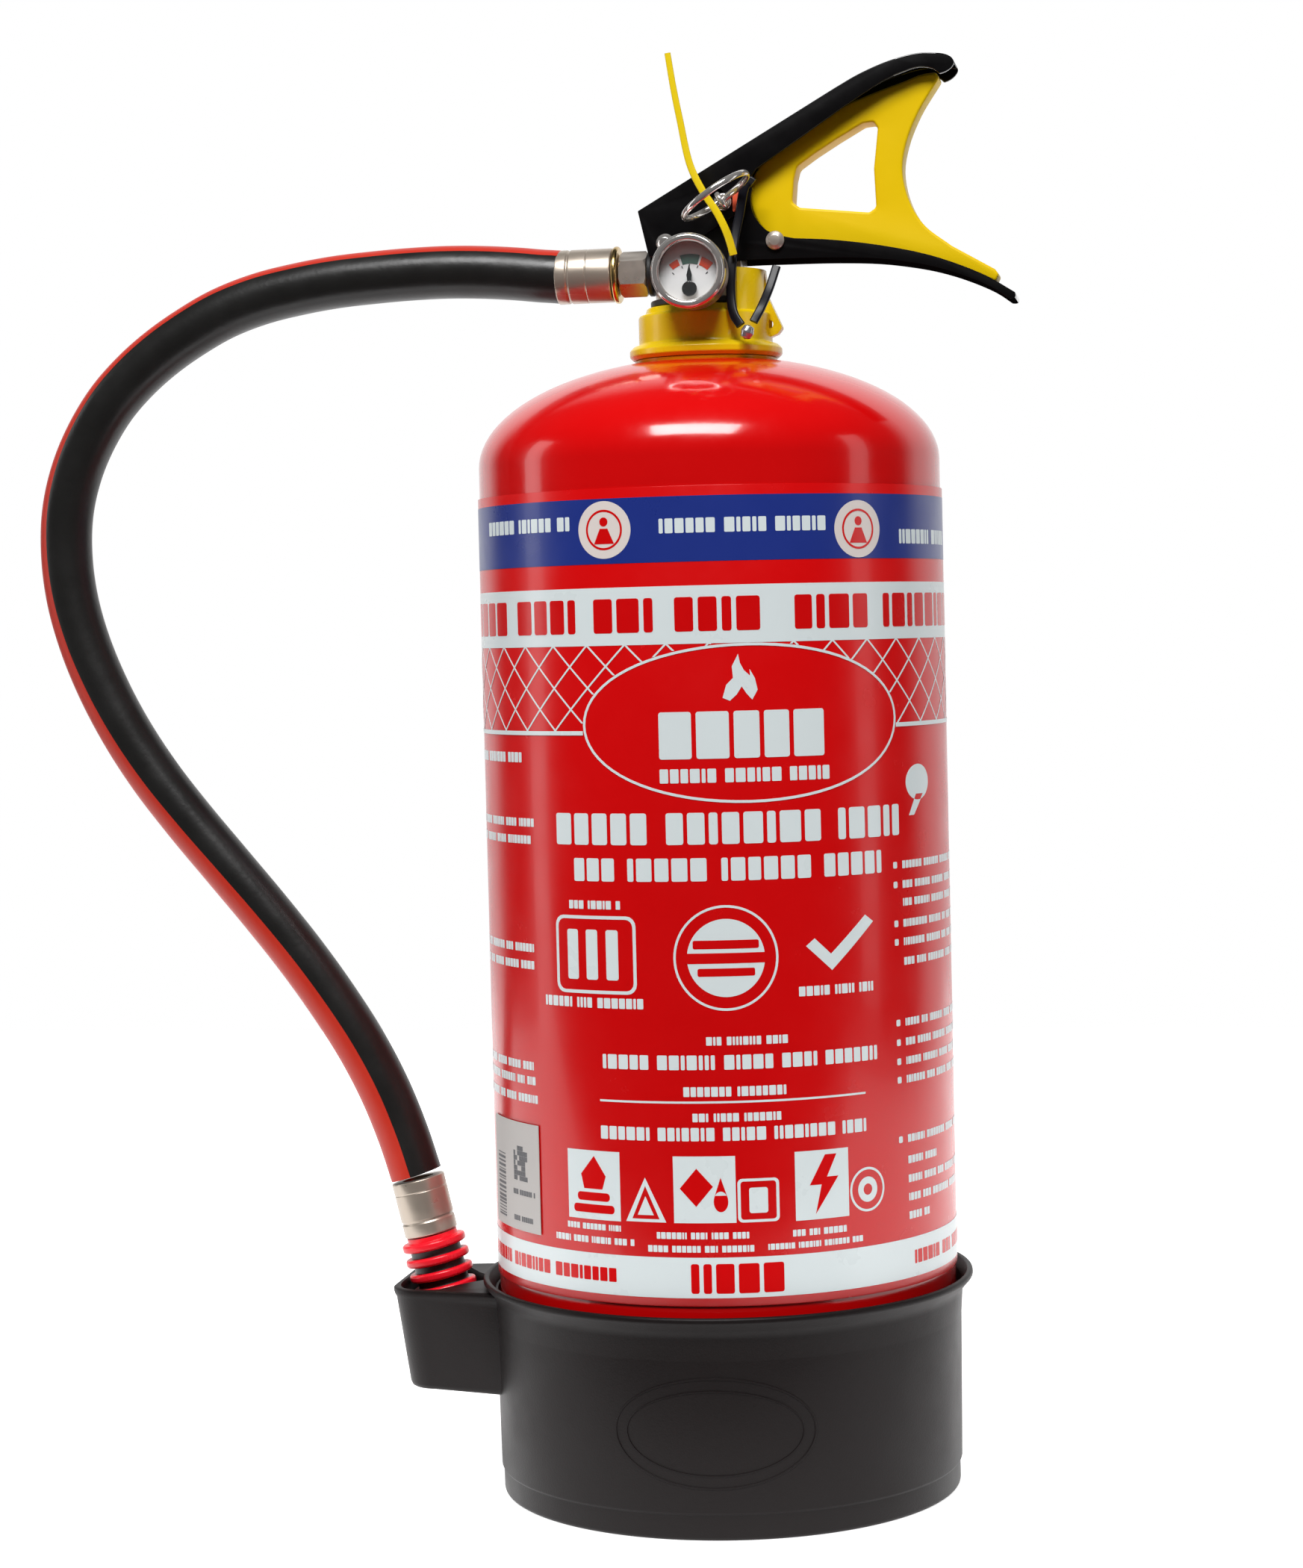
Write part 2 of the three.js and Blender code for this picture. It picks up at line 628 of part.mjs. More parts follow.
const STRAP_ROUTE = [
  [-7.1, -24, 495.5],
  [-5.3, -24, 483.4],
  [-3.4, -24, 473],
  [-0.2, -24, 457.4],
  [3.8, -24, 448.6],
  [8.8, -23.6, 440.6],
  [12, -23.2, 433.4],
  [13.8, -22.8, 426.6],
];
const TETHER_ROUTE = [
  [20.2, -16.2, 451.4],
  [18.6, -16.2, 452.4],
  [17, -16.2, 449.6],
  [15.2, -16.2, 441],
  [13.6, -17.4, 433],
  [12.7, -20, 424],
  [12.4, -21.6, 413],
  [13.6, -23.4, 406.4],
  [16, -24.6, 402.6],
];
const TETHER_RETURN = [
  [20.4, -24.6, 403.6],
  [22.6, -22.8, 408],
  [25, -18, 415],
  [27.2, -14, 423],
];

function flatSection(width, thickness) {
  const [w, t] = [width / 2, thickness / 2];
  return outline([[-t, -w], [t, -w], [t, w], [-t, w]]);
}

function addStraps() {
  add("tamper_strap", swept(spline(STRAP_ROUTE), 24, flatSection(2.8, 1.3)), "yellow");
  add("tether_strap", swept(spline(TETHER_ROUTE), 24, flatSection(3.4, 1.6)), "gloss");
  add("tether_return", swept(spline(TETHER_RETURN), 12, flatSection(3.2, 1.6)), "gloss");
  const bead = turned([[0, -2.6], [1.7, -2], [2.3, 0], [1.7, 2], [0, 2.6]], 16);
  add("tether_seal", bead.rotateY(0.4).translate(18.2, -24.8, 400.2), "glass");
}

// Pressure gauge, facing -Y; its own heights are the Y values with the sign turned

function addGauge() {
  const { z, caseR, backY, lipY, bezelR, dialR } = GAUGE;
  const face = (geometry) => alongY(geometry, 0, z);
  const bore = 1.2;
  const stemR = 4;
  const back = 1.6;
  const cup = turned(
    [
      [bore, backY + 3.9],
      [stemR, backY + 3.9],
      [stemR, backY],
      [caseR - 1.5, backY],
      [caseR, backY - 1.5],
      [caseR, lipY],
      [dialR + 0.5, lipY],
      [dialR + 0.5, backY - back],
      [bore, backY - back],
    ],
    28,
  );
  add("gauge_case", face(cup), "nickel");
  add("gauge_lens", face(disc(dialR + 0.2, -35, -34.2, 40)), "glass");
  const bezel = turned(
    [
      [dialR - 0.4, lipY - GAP],
      [dialR - 0.4, lipY - 1.6],
      [dialR + 0.6, lipY - 2.3],
      [bezelR - 0.8, lipY - 1.9],
      [bezelR, lipY - 0.8],
      [bezelR, lipY + 3.4],
      [caseR + GAP, lipY + 3.4],
      [caseR + GAP, lipY - GAP],
    ],
    28,
  );
  add("gauge_bezel", face(bezel), "chrome");
  const arc = Array.from({ length: 9 }, (_, i) => {
    const angle = -Math.PI / 2 + (i / 8) * 1.5 * Math.PI;
    return [6.4 * Math.cos(angle), -27, z + 6.4 * Math.sin(angle)];
  });
  add("bourdon_tube", swept(spline(arc), 20, polygonSection(1, 6)), "brass");
}

// The dial, and the needle that turns in front of it on a shaft through it
function addDial() {
  const { z, dialR, hubZ } = GAUGE;
  const dial = { y0: -31.4, y1: -30.8 };
  const needle = { y0: -33, y1: -32.5, hubR: 2.6, shaftR: 0.5 };
  const shaftHole = disc(0.7, -33, -29, 12).translate(0, z - hubZ, 0);
  add("gauge_dial", alongY(cut(disc(dialR, dial.y0, dial.y1, 40), shaftHole), 0, z), "white");
  const arrow = outline([
    [0.5, hubZ],
    [0.55, hubZ + 1.6],
    [0.9, hubZ + 4.6],
    [0, hubZ + 8.2],
    [-0.9, hubZ + 4.6],
    [-0.55, hubZ + 1.6],
    [-0.5, hubZ],
  ]);
  const hub = alongY(disc(needle.hubR, needle.y0 - 0.4, needle.y1 + 0.1, 24), 0, hubZ);
  const shaft = alongY(disc(needle.shaftR, needle.y1, -29.6, 10), 0, hubZ);
  add("gauge_needle", join(plate(arrow, needle.y0, needle.y1), hub, shaft), "gloss");
}

// Outlet, hose and nozzle

const HOSE_ROUTE = [
  [-52.8, 424.4],
  [-58, 424.9],
  [-66, 425.9],
  [-78, 427],
  [-91, 427.6],
  [-105, 427.5],
  [-118, 426.9],
  [-132, 425.9],
  [-146, 424],
  [-160, 421.2],
  [-174, 416.6],
  [-186, 410.6],
  [-197, 403.8],
  [-207, 396],
  [-216.5, 386.4],
  [-224.6, 374.6],
  [-230.6, 362],
  [-234.4, 348],
  [-235.4, 333],
  [-233.9, 317],
  [-229.8, 300.8],
  [-223.4, 284.4],
  [-215, 268],
  [-204.5, 251.6],
  [-192, 235.3],
  [-178.5, 219],
  [-165, 202.7],
  [-152.2, 186.4],
  [-140.8, 170.3],
  [-130.7, 154.2],
  [-122.5, 138],
  [-116.2, 121.8],
  [-111.9, 108],
];

function addOutlet() {
  const clearTail = TAIL.r + GAP;
  add("outlet_washer", atOutlet(ring(clearTail, WASHER.r, -WASHER.x0, -WASHER.x1, 24)), "rubber");
  add("hose_tail", atOutlet(ring(TAIL.bore, TAIL.r, -TAIL.x0, -TAIL.x1, 16)), "brass");
  const [near, far] = [-NUT.x0, -NUT.x1];
  const chamfered = turned(
    [
      [clearTail, near],
      [NUT.cornerR - 0.9, near],
      [NUT.cornerR, near + 0.8],
      [NUT.cornerR, far - 0.8],
      [NUT.cornerR - 0.9, far],
      [clearTail, far],
    ],
    24,
  );
  const nut = meet(disc(NUT.cornerR, near, far, 6), chamfered);
  add("swivel_nut", atOutlet(nut.rotateZ(Math.PI / 6)), "nickel");
  const { r: ringR, x0: ringNear, x1: ringFar } = FERRULE_RING;
  add("ferrule_ring", atOutlet(ring(clearTail, ringR, -ringNear, -ringFar, 24)), "brass");
  const [x0, x1] = [-FERRULE.x0, -FERRULE.x1];
  const sleeve = [
    [clearTail, x0],
    [FERRULE.r, x0],
    [FERRULE.r, x1 - 5],
    [FERRULE.r - 0.5, x1 - 4.4],
    [FERRULE.r, x1 - 3.6],
    [FERRULE.r, x1],
    [clearTail, x1],
  ];
  add("upper_ferrule", atOutlet(turned(sleeve, 24)), "nickel");
}

function addHose() {
  const route = spline(HOSE_ROUTE.map(([x, z]) => [x, 0, z]));
  add("hose", swept(route, 50, polygonSection(HOSE_R, 8)), "rubber");
}

// Turned about the nozzle's leaning axis; heights are distances down from the lower ferrule's top
const onNozzle = (geometry) =>
  geometry.rotateX(Math.PI).rotateY(-NOZZLE_LEAN).translate(NOZZLE_TOP[0], 0, NOZZLE_TOP[1]);

function addNozzle() {
  const sleeve = [[5.6, 0], [9.5, 0], [9.5, 14], [9, 14.7], [9.5, 15.4], [9.5, 20], [5.6, 20]];
  add("lower_ferrule", onNozzle(turned(sleeve, 24)), "nickel");
  const ribs = { start: 22.2, pitch: 5.4, count: 4, r: 11.4, core: 9.2 };
  const bore = 2.6;
  const profile = [[bore, 20.4], [ribs.core, 20.4], [ribs.core, ribs.start]];
  for (let i = 0; i < ribs.count; i += 1) {
    const z = ribs.start + i * ribs.pitch;
    profile.push([ribs.r, z + 0.3], [ribs.r, z + 2.3], [ribs.core, z + 3.1]);
  }
  const tip = ribs.start + ribs.count * ribs.pitch;
  profile.push([ribs.core - 0.4, tip + 4], [7, tip + 24], [6.2, tip + 26], [4.2, tip + 26], [bore, tip + 12]);
  add("nozzle_body", onNozzle(turned(profile, 20)), "flag");
  const tail = [[1.6, 1], [5.2, 1], [5.2, 20.1], [2.3, 20.1], [2.3, 26], [1.6, 26]];
  add("nozzle_tail", onNozzle(turned(tail, 20)), "brass");
}

addVessel();
addLabels();
addBoot();
addValveBody();
addGland();
addCollar();
addHandle();
addStuds();
addLever();
addPivotPin();
addGuard();
addStem();
addPin();
addStraps();
addGauge();
addDial();
addOutlet();
addHose();
addNozzle();

export default extinguisher;
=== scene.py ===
"""Looks of a stored-pressure fire extinguisher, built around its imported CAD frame."""

import math
import random

import bmesh
import bpy
from mathutils import Matrix, Vector


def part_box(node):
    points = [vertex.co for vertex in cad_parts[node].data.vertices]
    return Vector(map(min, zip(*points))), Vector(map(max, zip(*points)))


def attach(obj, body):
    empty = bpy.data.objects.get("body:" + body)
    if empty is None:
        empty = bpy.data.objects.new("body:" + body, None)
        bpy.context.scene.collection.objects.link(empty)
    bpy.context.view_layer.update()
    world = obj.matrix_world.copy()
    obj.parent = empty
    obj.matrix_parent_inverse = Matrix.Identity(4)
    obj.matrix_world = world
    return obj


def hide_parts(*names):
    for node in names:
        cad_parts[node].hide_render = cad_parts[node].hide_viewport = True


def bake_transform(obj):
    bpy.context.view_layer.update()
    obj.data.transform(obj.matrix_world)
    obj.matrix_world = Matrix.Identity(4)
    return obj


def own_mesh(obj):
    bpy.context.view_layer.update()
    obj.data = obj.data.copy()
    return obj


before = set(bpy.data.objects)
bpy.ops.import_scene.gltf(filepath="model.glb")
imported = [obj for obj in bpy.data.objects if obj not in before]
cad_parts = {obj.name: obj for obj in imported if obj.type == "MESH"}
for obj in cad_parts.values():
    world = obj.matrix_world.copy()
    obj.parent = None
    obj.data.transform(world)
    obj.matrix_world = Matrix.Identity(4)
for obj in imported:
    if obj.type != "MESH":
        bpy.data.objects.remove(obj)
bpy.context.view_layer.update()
MM = 0.001


def node_box(node):
    """A CAD node's lowest and highest corners, in millimetres."""
    low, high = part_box(node)
    return [value / MM for value in low], [value / MM for value in high]


# ---- camera and stage

CAMERA_PLACE = (179.9, -1135.8, 298.7)
CAMERA_PITCH = math.radians(90 - 2.61)
CAMERA_HEADING = math.radians(10.13)
CAMERA_ROLL = math.radians(-1.4)
LENS = 75.55


def add_camera():
    data = bpy.data.cameras.new("camera")
    data.lens = LENS
    data.sensor_width = 36
    data.clip_start = 0.01
    camera = bpy.data.objects.new("camera", data)
    bpy.context.collection.objects.link(camera)
    turn = Matrix.Rotation(CAMERA_HEADING, 4, "Z") @ Matrix.Rotation(CAMERA_PITCH, 4, "X")
    turn = turn @ Matrix.Rotation(CAMERA_ROLL, 4, "Z")
    camera.matrix_world = Matrix.Translation(Vector(CAMERA_PLACE) * MM) @ turn
    bpy.context.scene.camera = camera


add_camera()


# ---- materials


class Nodes:
    """A short way to write a node tree: nodes.add(type, settings, input=value or socket)."""

    def __init__(self, tree):
        self.tree = tree

    def add(self, kind, settings=(), **inputs):
        node = self.tree.nodes.new(kind)
        for name, value in dict(settings).items():
            setattr(node, name, value)
        for name, value in inputs.items():
            self.feed(node.inputs[name.replace("_", " ")], value)
        return node

    def feed(self, socket, value):
        if isinstance(value, bpy.types.NodeSocket):
            self.tree.links.new(value, socket)
        else:
            socket.default_value = value


def finish_of(name, colour, rough, metal=0.0, coat=0.0, spread=0.06, grain=None, tint=0.1, tint_scale=60.0,
    specular=0.5, stretch=None):
    """A moulded, painted or metal finish. spread is how far roughness wanders, grain a (scale, height) bump,
    tint how much darker the colour gets in patches, and stretch squeezes the noise along an axis, as in brushing."""
    material = bpy.data.materials.new(name)
    material.use_nodes = True
    nodes = Nodes(material.node_tree)
    shader = material.node_tree.nodes["Principled BSDF"]
    place = nodes.add("ShaderNodeTexCoord").outputs["Object"]
    if stretch:
        place = nodes.add("ShaderNodeMapping", Vector=place, Scale=stretch).outputs["Vector"]
    noise = nodes.add("ShaderNodeTexNoise", Vector=place, Scale=tint_scale, Detail=4.0, Roughness=0.6)
    wander = nodes.add("ShaderNodeMapRange", Value=noise.outputs["Fac"], From_Min=0.3, From_Max=0.7,
        To_Min=max(rough - spread, 0.02), To_Max=rough + spread)
    nodes.feed(shader.inputs["Roughness"], wander.outputs["Result"])
    shader.inputs["Metallic"].default_value = metal
    shader.inputs["Specular IOR Level"].default_value = specular
    shader.inputs["Coat Weight"].default_value = coat
    shader.inputs["Coat Roughness"].default_value = 0.06
    mix = nodes.add("ShaderNodeMix", {"data_type": "RGBA"})
    nodes.feed(mix.inputs["Factor"], noise.outputs["Fac"])
    nodes.feed(mix.inputs[6], (*(c * (1 - tint) for c in colour), 1.0))
    nodes.feed(mix.inputs[7], (*colour, 1.0))
    nodes.feed(shader.inputs["Base Color"], mix.outputs[2])
    if grain:
        scale, height = grain
        fine = nodes.add("ShaderNodeTexNoise", Vector=place, Scale=scale, Detail=3.0)
        bump = nodes.add("ShaderNodeBump", Height=fine.outputs["Fac"], Strength=1.0, Distance=height * MM)
        nodes.feed(shader.inputs["Normal"], bump.outputs["Normal"])
    return material


def glass_of(name):
    """Thin clear glass: mostly see-through, with its surface gloss."""
    material = bpy.data.materials.new(name)
    material.use_nodes = True
    shader = material.node_tree.nodes["Principled BSDF"]
    shader.inputs["Base Color"].default_value = (0.5, 0.52, 0.52, 1.0)
    shader.inputs["Roughness"].default_value = 0.03
    shader.inputs["Specular IOR Level"].default_value = 0.3
    shader.inputs["Alpha"].default_value = 0.03
    return material


MATERIALS = {
    "red": finish_of("red_enamel", (0.66, 0.0015, 0.002), 0.17, coat=0.3, spread=0.04, grain=(420, 0.02),
        tint=0.06, specular=0.4),
    "label_red": finish_of("label_red", (0.67, 0.0012, 0.002), 0.24, coat=0.1, spread=0.04, grain=(900, 0.006),
        tint=0.04, specular=0.4),
    "label_white": finish_of("label_white", (0.76, 0.83, 0.84), 0.3, coat=0.1, spread=0.04, tint=0.03),
    "label_blue": finish_of("label_blue", (0.014, 0.034, 0.25), 0.3, coat=0.1, spread=0.04),
    "label_flesh": finish_of("label_disc", (0.80, 0.72, 0.68), 0.32, spread=0.04, tint=0.05),
    "sticker": finish_of("sticker_paper", (0.55, 0.52, 0.50), 0.5, spread=0.05, grain=(900, 0.01), tint=0.08),
    "sticker_ink": finish_of("sticker_ink", (0.13, 0.13, 0.14), 0.5, spread=0.04, tint=0.2),
    "boot": finish_of("boot_plastic", (0.0095, 0.0066, 0.0066), 0.44, grain=(1500, 0.05), tint=0.25,
        tint_scale=25, specular=0.18),
    "black": finish_of("black_enamel", (0.0030, 0.0026, 0.0030), 0.33, grain=(350, 0.03), tint=0.2,
        specular=0.2),
    # a copy of the black enamel without reflection, for downward faces: painted shade in place of the floor's
    # reflection
    "underside": finish_of("black_underside", (0.0030, 0.0028, 0.0030), 0.6, grain=(350, 0.03), tint=0.2,
        specular=0.0),
    "tip": finish_of("dipped_tip", (0.004, 0.004, 0.005), 0.08, coat=0.8, spread=0.03),
    "yellow": finish_of("yellow_plastic", (0.83, 0.56, 0.0012), 0.4, grain=(900, 0.02), tint=0.07,
        tint_scale=30, specular=0.18),
    "collar": finish_of("yellow_collar", (0.90, 0.63, 0.004), 0.26, coat=0.1, spread=0.05, grain=(700, 0.02),
        tint_scale=40, specular=0.4),
    "strap_yellow": finish_of("yellow_strap", (0.85, 0.62, 0.005), 0.3, spread=0.05, tint=0.06),
    "strap_black": finish_of("black_strap", (0.0032, 0.0034, 0.0075), 0.34, spread=0.05, tint=0.2,
        specular=0.25),
    "nickel": finish_of("nickel_plate", (0.58, 0.52, 0.46), 0.32, metal=0.7, spread=0.08, grain=(500, 0.01),
        tint=0.18, tint_scale=120),
    "chrome": finish_of("bright_steel", (0.74, 0.71, 0.68), 0.13, metal=0.8, spread=0.05),
    "ferrule": finish_of("crimped_steel", (0.56, 0.48, 0.40), 0.32, metal=0.68, spread=0.08, grain=(600, 0.015),
        tint=0.22, tint_scale=90, stretch=(0.25, 1.0, 1.0)),
    "brass": finish_of("brass", (0.72, 0.50, 0.20), 0.22, metal=1.0, tint=0.2),
    "rubber": finish_of("hose_rubber", (0.013, 0.0125, 0.012), 0.34, grain=(500, 0.06), tint=0.2, specular=0.4),
    "stripe": finish_of("hose_stripe", (0.56, 0.030, 0.014), 0.42, grain=(500, 0.06), tint=0.12, specular=0.3),
    "seal_rubber": finish_of("seal_rubber", (0.010, 0.010, 0.011), 0.5, grain=(700, 0.03), tint=0.15),
    "nozzle": finish_of("nozzle_plastic", (0.97, 0.010, 0.026), 0.28, grain=(700, 0.03), specular=0.45),
    # near-black for the grooves between the nozzle's ribs: painted shade in the grooves
    "nozzle_groove_shade": finish_of("nozzle_groove_shade", (0.020, 0.014, 0.014), 0.4, tint=0.15),
    "dial": finish_of("dial_face", (0.86, 0.86, 0.86), 0.35, spread=0.03, tint=0.03),
    "dial_green": finish_of("dial_green", (0.055, 0.13, 0.10), 0.4, spread=0.03, tint=0.15),
    "dial_red": finish_of("dial_red", (0.78, 0.055, 0.006), 0.4, spread=0.03),
    "flag": finish_of("flag_plastic", (0.72, 0.10, 0.04), 0.35, spread=0.05),
    "powder": finish_of("powder", (0.86, 0.80, 0.50), 0.9, spread=0.05, grain=(1500, 0.2)),
    "tube": finish_of("tube_plastic", (0.80, 0.80, 0.76), 0.4, spread=0.05, tint=0.06),
    "seal_clear": finish_of("seal_metal", (0.55, 0.58, 0.62), 0.25, metal=0.8, spread=0.1, grain=(400, 0.2),
        tint=0.3, tint_scale=300),
    "floor": finish_of("floor", (0.93, 0.93, 0.93), 0.7, spread=0.03, tint=0.01, tint_scale=3),
    "glass": glass_of("gauge_glass"),
}

# ---- shapes, in millimetres

ALONG_Y = Matrix.Rotation(-math.pi / 2, 4, "X")
ALONG_X = Matrix.Rotation(math.pi / 2, 4, "Y")
ALONG_MINUS_X = Matrix.Rotation(math.pi, 4, "Z") @ ALONG_X


def at(x=0.0, y=0.0, z=0.0):
    return Matrix.Translation((x, y, z))


def along_y(x, z):
    """A place whose axis runs along Y through (x, z)."""
    return at(x, 0, z) @ ALONG_Y


def mesh_object(name, verts, faces, place=None):
    mesh = bpy.data.meshes.new(name)
    mesh.from_pydata([tuple(v) for v in verts], [], faces)
    if place is not None:
        mesh.transform(place)
    mesh.validate()
    bm = bmesh.new()
    bm.from_mesh(mesh)
    bmesh.ops.recalc_face_normals(bm, faces=bm.faces)
    bm.to_mesh(mesh)
    bm.free()
    obj = bpy.data.objects.new(name, mesh)
    bpy.context.collection.objects.link(obj)
    return obj


def applied(obj):
    """The object's modifiers made part of its mesh."""
    graph = bpy.context.evaluated_depsgraph_get()
    mesh = bpy.data.meshes.new_from_object(obj.evaluated_get(graph), depsgraph=graph)
    old = obj.data
    obj.modifiers.clear()
    obj.data = mesh
    bpy.data.meshes.remove(old)
    return obj


def bevelled(obj, width, segments=3, angle=30):
    modifier = obj.modifiers.new("bevel", "BEVEL")
    modifier.width = width
    modifier.segments = segments
    modifier.limit_method = "ANGLE"
    modifier.angle_limit = math.radians(angle)
    return applied(obj)


def combined(obj, *others, operation="UNION"):
    for other in others:
        modifier = obj.modifiers.new("join", "BOOLEAN")
        modifier.operation = operation
        modifier.solver = "EXACT"
        modifier.object = other
        applied(obj)
        bpy.data.objects.remove(other)
    return obj


def done(obj, material, body, *nodes, slot=None, sharp=32):
    """Scales a finished piece to metres, smooths it, gives its material and lets it ride on its body.
    The slot argument is not used."""
    mesh = obj.data
    mesh.transform(Matrix.Scale(MM, 4))
    if material is not None:
        mesh.materials.clear()
        mesh.materials.append(MATERIALS[material])
    mesh.shade_smooth()
    mesh.set_sharp_from_angle(angle=math.radians(sharp))
    if body:
        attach(obj, body)
    if nodes:
        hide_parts(*nodes)
    return obj


def rounded(points, steps=4):
    """Corners given as (r, z, radius) become arcs; a corner without a radius stays as it is."""
    out = []
    count = len(points)
    for i, point in enumerate(points):
        if len(point) < 3 or not point[2]:
            out.append((point[0], point[1]))
            continue
        here = Vector(point[:2])
        before = (Vector(points[i - 1][:2]) - here)
        after = (Vector(points[(i + 1) % count][:2]) - here)
        half = before.angle(after) / 2
        reach = min(point[2] / math.tan(half), 0.49 * before.length, 0.49 * after.length)
        radius = reach * math.tan(half)
        start, end = here + before.normalized() * reach, here + after.normalized() * reach
        centre = here + (before.normalized() + after.normalized()).normalized() * (radius / math.sin(half))
        a, b = start - centre, end - centre
        sweep = a.angle_signed(b)
        for k in range(steps + 1):
            turn = Matrix.Rotation(-sweep * k / steps, 2)
            out.append(tuple(centre + turn @ a))
    return out


def lathe(name, profile, place=None, segments=96, closed=True):
    """Turns (radius, height) points about Z. A closed profile is a loop; an open one has its ends on the axis."""
    verts, rows = [], []
    for r, z in profile:
        if r < 1e-6:
            rows.append([len(verts)] * segments)
            verts.append((0, 0, z))
            continue
        rows.append(list(range(len(verts), len(verts) + segments)))
        verts += [(r * math.cos(2 * math.pi * k / segments), r * math.sin(2 * math.pi * k / segments), z)
            for k in range(segments)]
    faces = []
    pairs = list(zip(rows, rows[1:])) + ([(rows[-1], rows[0])] if closed else [])
    for low, high in pairs:
        for k in range(segments):
            n = (k + 1) % segments
            corners = [low[k], low[n], high[n], high[k]]
            face = list(dict.fromkeys(corners))
            if len(face) > 2:
                faces.append(face)
    return mesh_object(name, verts, faces, place)


def prism(name, outline, y0, y1):
    """An outline of (x, z) points, given a thickness from y0 to y1."""
    n = len(outline)
    verts = [(x, y0, z) for x, z in outline] + [(x, y1, z) for x, z in outline]
    faces = [list(range(n)), list(range(2 * n - 1, n - 1, -1))]
    faces += [[i, i + n, (i + 1) % n + n, (i + 1) % n] for i in range(n)]
    return mesh_object(name, verts, faces)


def bezier(a, b, c, steps=6):
    """Points after a on the quadratic curve from a to c that b pulls."""
    out = []
    for k in range(1, steps + 1):
        t = k / steps
        out.append(tuple((1 - t) ** 2 * p + 2 * t * (1 - t) * q + t * t * r for p, q, r in zip(a, b, c)))
    return out


SPLINE_STEPS = 24  # fine steps between two given points


def blended(a, b, start, end, t):
    """From a at start to b at end, in proportion."""
    return a * ((end - t) / (end - start)) + b * ((t - start) / (end - start))


def smooth_line(points, count):
    """A centripetal Catmull-Rom spline through the points, at count + 1 even steps of length."""
    pts = [Vector(p) for p in points]
    pts = [pts[0] * 2 - pts[1], *pts, pts[-1] * 2 - pts[-2]]
    fine = []
    for i in range(1, len(pts) - 2):
        p0, p1, p2, p3 = pts[i - 1 : i + 3]
        knots = [0.0]
        for a, b in ((p0, p1), (p1, p2), (p2, p3)):
            knots.append(knots[-1] + (b - a).length ** 0.5)
        t0, t1, t2, t3 = knots
        for k in range(SPLINE_STEPS):
            t = t1 + (t2 - t1) * k / SPLINE_STEPS
            middle = blended(p1, p2, t1, t2, t)
            before = blended(blended(p0, p1, t0, t1, t), middle, t0, t2, t)
            after = blended(middle, blended(p2, p3, t2, t3, t), t1, t3, t)
            fine.append(blended(before, after, t1, t2, t))
    fine.append(pts[-2])
    lengths = [0.0]
    for a, b in zip(fine, fine[1:]):
        lengths.append(lengths[-1] + (b - a).length)
    out, at_index = [], 0
    for k in range(count + 1):
        want = lengths[-1] * k / count
        while at_index < len(fine) - 2 and lengths[at_index + 1] < want:
            at_index += 1
        gap = lengths[at_index + 1] - lengths[at_index]
        share = (want - lengths[at_index]) / gap if gap else 0
        out.append(fine[at_index].lerp(fine[at_index + 1], min(max(share, 0), 1)))
    return out


def path_length(points):
    return sum((b - a).length for a, b in zip(points, points[1:]))


def tube_faces(rings, n):
    """Quads between rings of n points each, then a cap at each end."""
    faces = []
    for i in range(rings - 1):
        for k in range(n):
            m = (k + 1) % n
            faces.append([i * n + k, i * n + m, (i + 1) * n + m, (i + 1) * n + k])
    return faces + [list(range(n - 1, -1, -1)), [(rings - 1) * n + k for k in range(n)]]


def swept(name, line, section, side=Vector((0, -1, 0)), turn=None, swell=None):
    """A closed section of (across, side) points carried along a line. At each share of the length turn gives
    the section's own turn in radians and swell its scale. Across stands square to the line and to side."""
    verts, last = [], len(line) - 1
    for i, point in enumerate(line):
        ahead = (line[min(i + 1, last)] - line[max(i - 1, 0)]).normalized()
        across = ahead.cross(side).normalized()
        up = across.cross(ahead).normalized()
        angle = turn(i / last) if turn else 0.0
        scale = swell(i / last) if swell else 1.0
        for a, b in section:
            ca, sa = math.cos(angle), math.sin(angle)
            verts.append(point + across * ((a * ca - b * sa) * scale) + up * ((a * sa + b * ca) * scale))
    return mesh_object(name, verts, tube_faces(len(line), len(section)))


def round_section(radius, count, shift=0.0):
    """Points round a circle. shift moves the first one on, in steps."""
    turns = [2 * math.pi * (k + shift) / count for k in range(count)]
    return [(radius * math.cos(t), radius * math.sin(t)) for t in turns]


def strap_section(width, thickness, steps=4):
    """A flat strap with rounded edges. Its width lies across the line."""
    w, t = width / 2, thickness / 2
    corners = [(-w, -t, t * 0.8), (w, -t, t * 0.8), (w, t, t * 0.8), (-w, t, t * 0.8)]
    return rounded(corners, steps)


# ---- cords first: hose and tether

HOSE_R = 9.2
HOSE_ROUTE = [
    (-50.4, 424.1), (-52.8, 424.4), (-58, 424.9), (-66, 425.9), (-78, 427), (-91, 427.6), (-105, 427.5),
    (-118, 426.9), (-132, 425.9), (-146, 424), (-160, 421.2), (-174, 416.6), (-186, 410.6), (-197, 403.8),
    (-207, 396), (-216.5, 386.4), (-224.6, 374.6), (-230.6, 362), (-234.4, 348), (-235.4, 333), (-233.9, 317),
    (-229.8, 300.8), (-223.4, 284.4), (-215, 268), (-204.5, 251.6), (-192, 235.3), (-178.5, 219), (-165, 202.7),
    (-152.2, 186.4), (-140.8, 170.3), (-130.7, 154.2), (-122.5, 138), (-116.2, 121.8), (-111.9, 108),
]
STRIPE_SHARE = 0.26  # of the hose's circumference


STRIPE_START, STRIPE_WIND = -4, 48  # degrees
WIND_FROM, WIND_OVER = 0.15, 0.8  # shares of the hose's length


def stripe_turn(share):
    """The stripe runs along the outer side of the bend and winds round towards the front lower down."""
    ease = min(max((share - WIND_FROM) / WIND_OVER, 0), 1)
    ease = ease * ease * (3 - 2 * ease)
    return math.radians(STRIPE_START + STRIPE_WIND * ease)


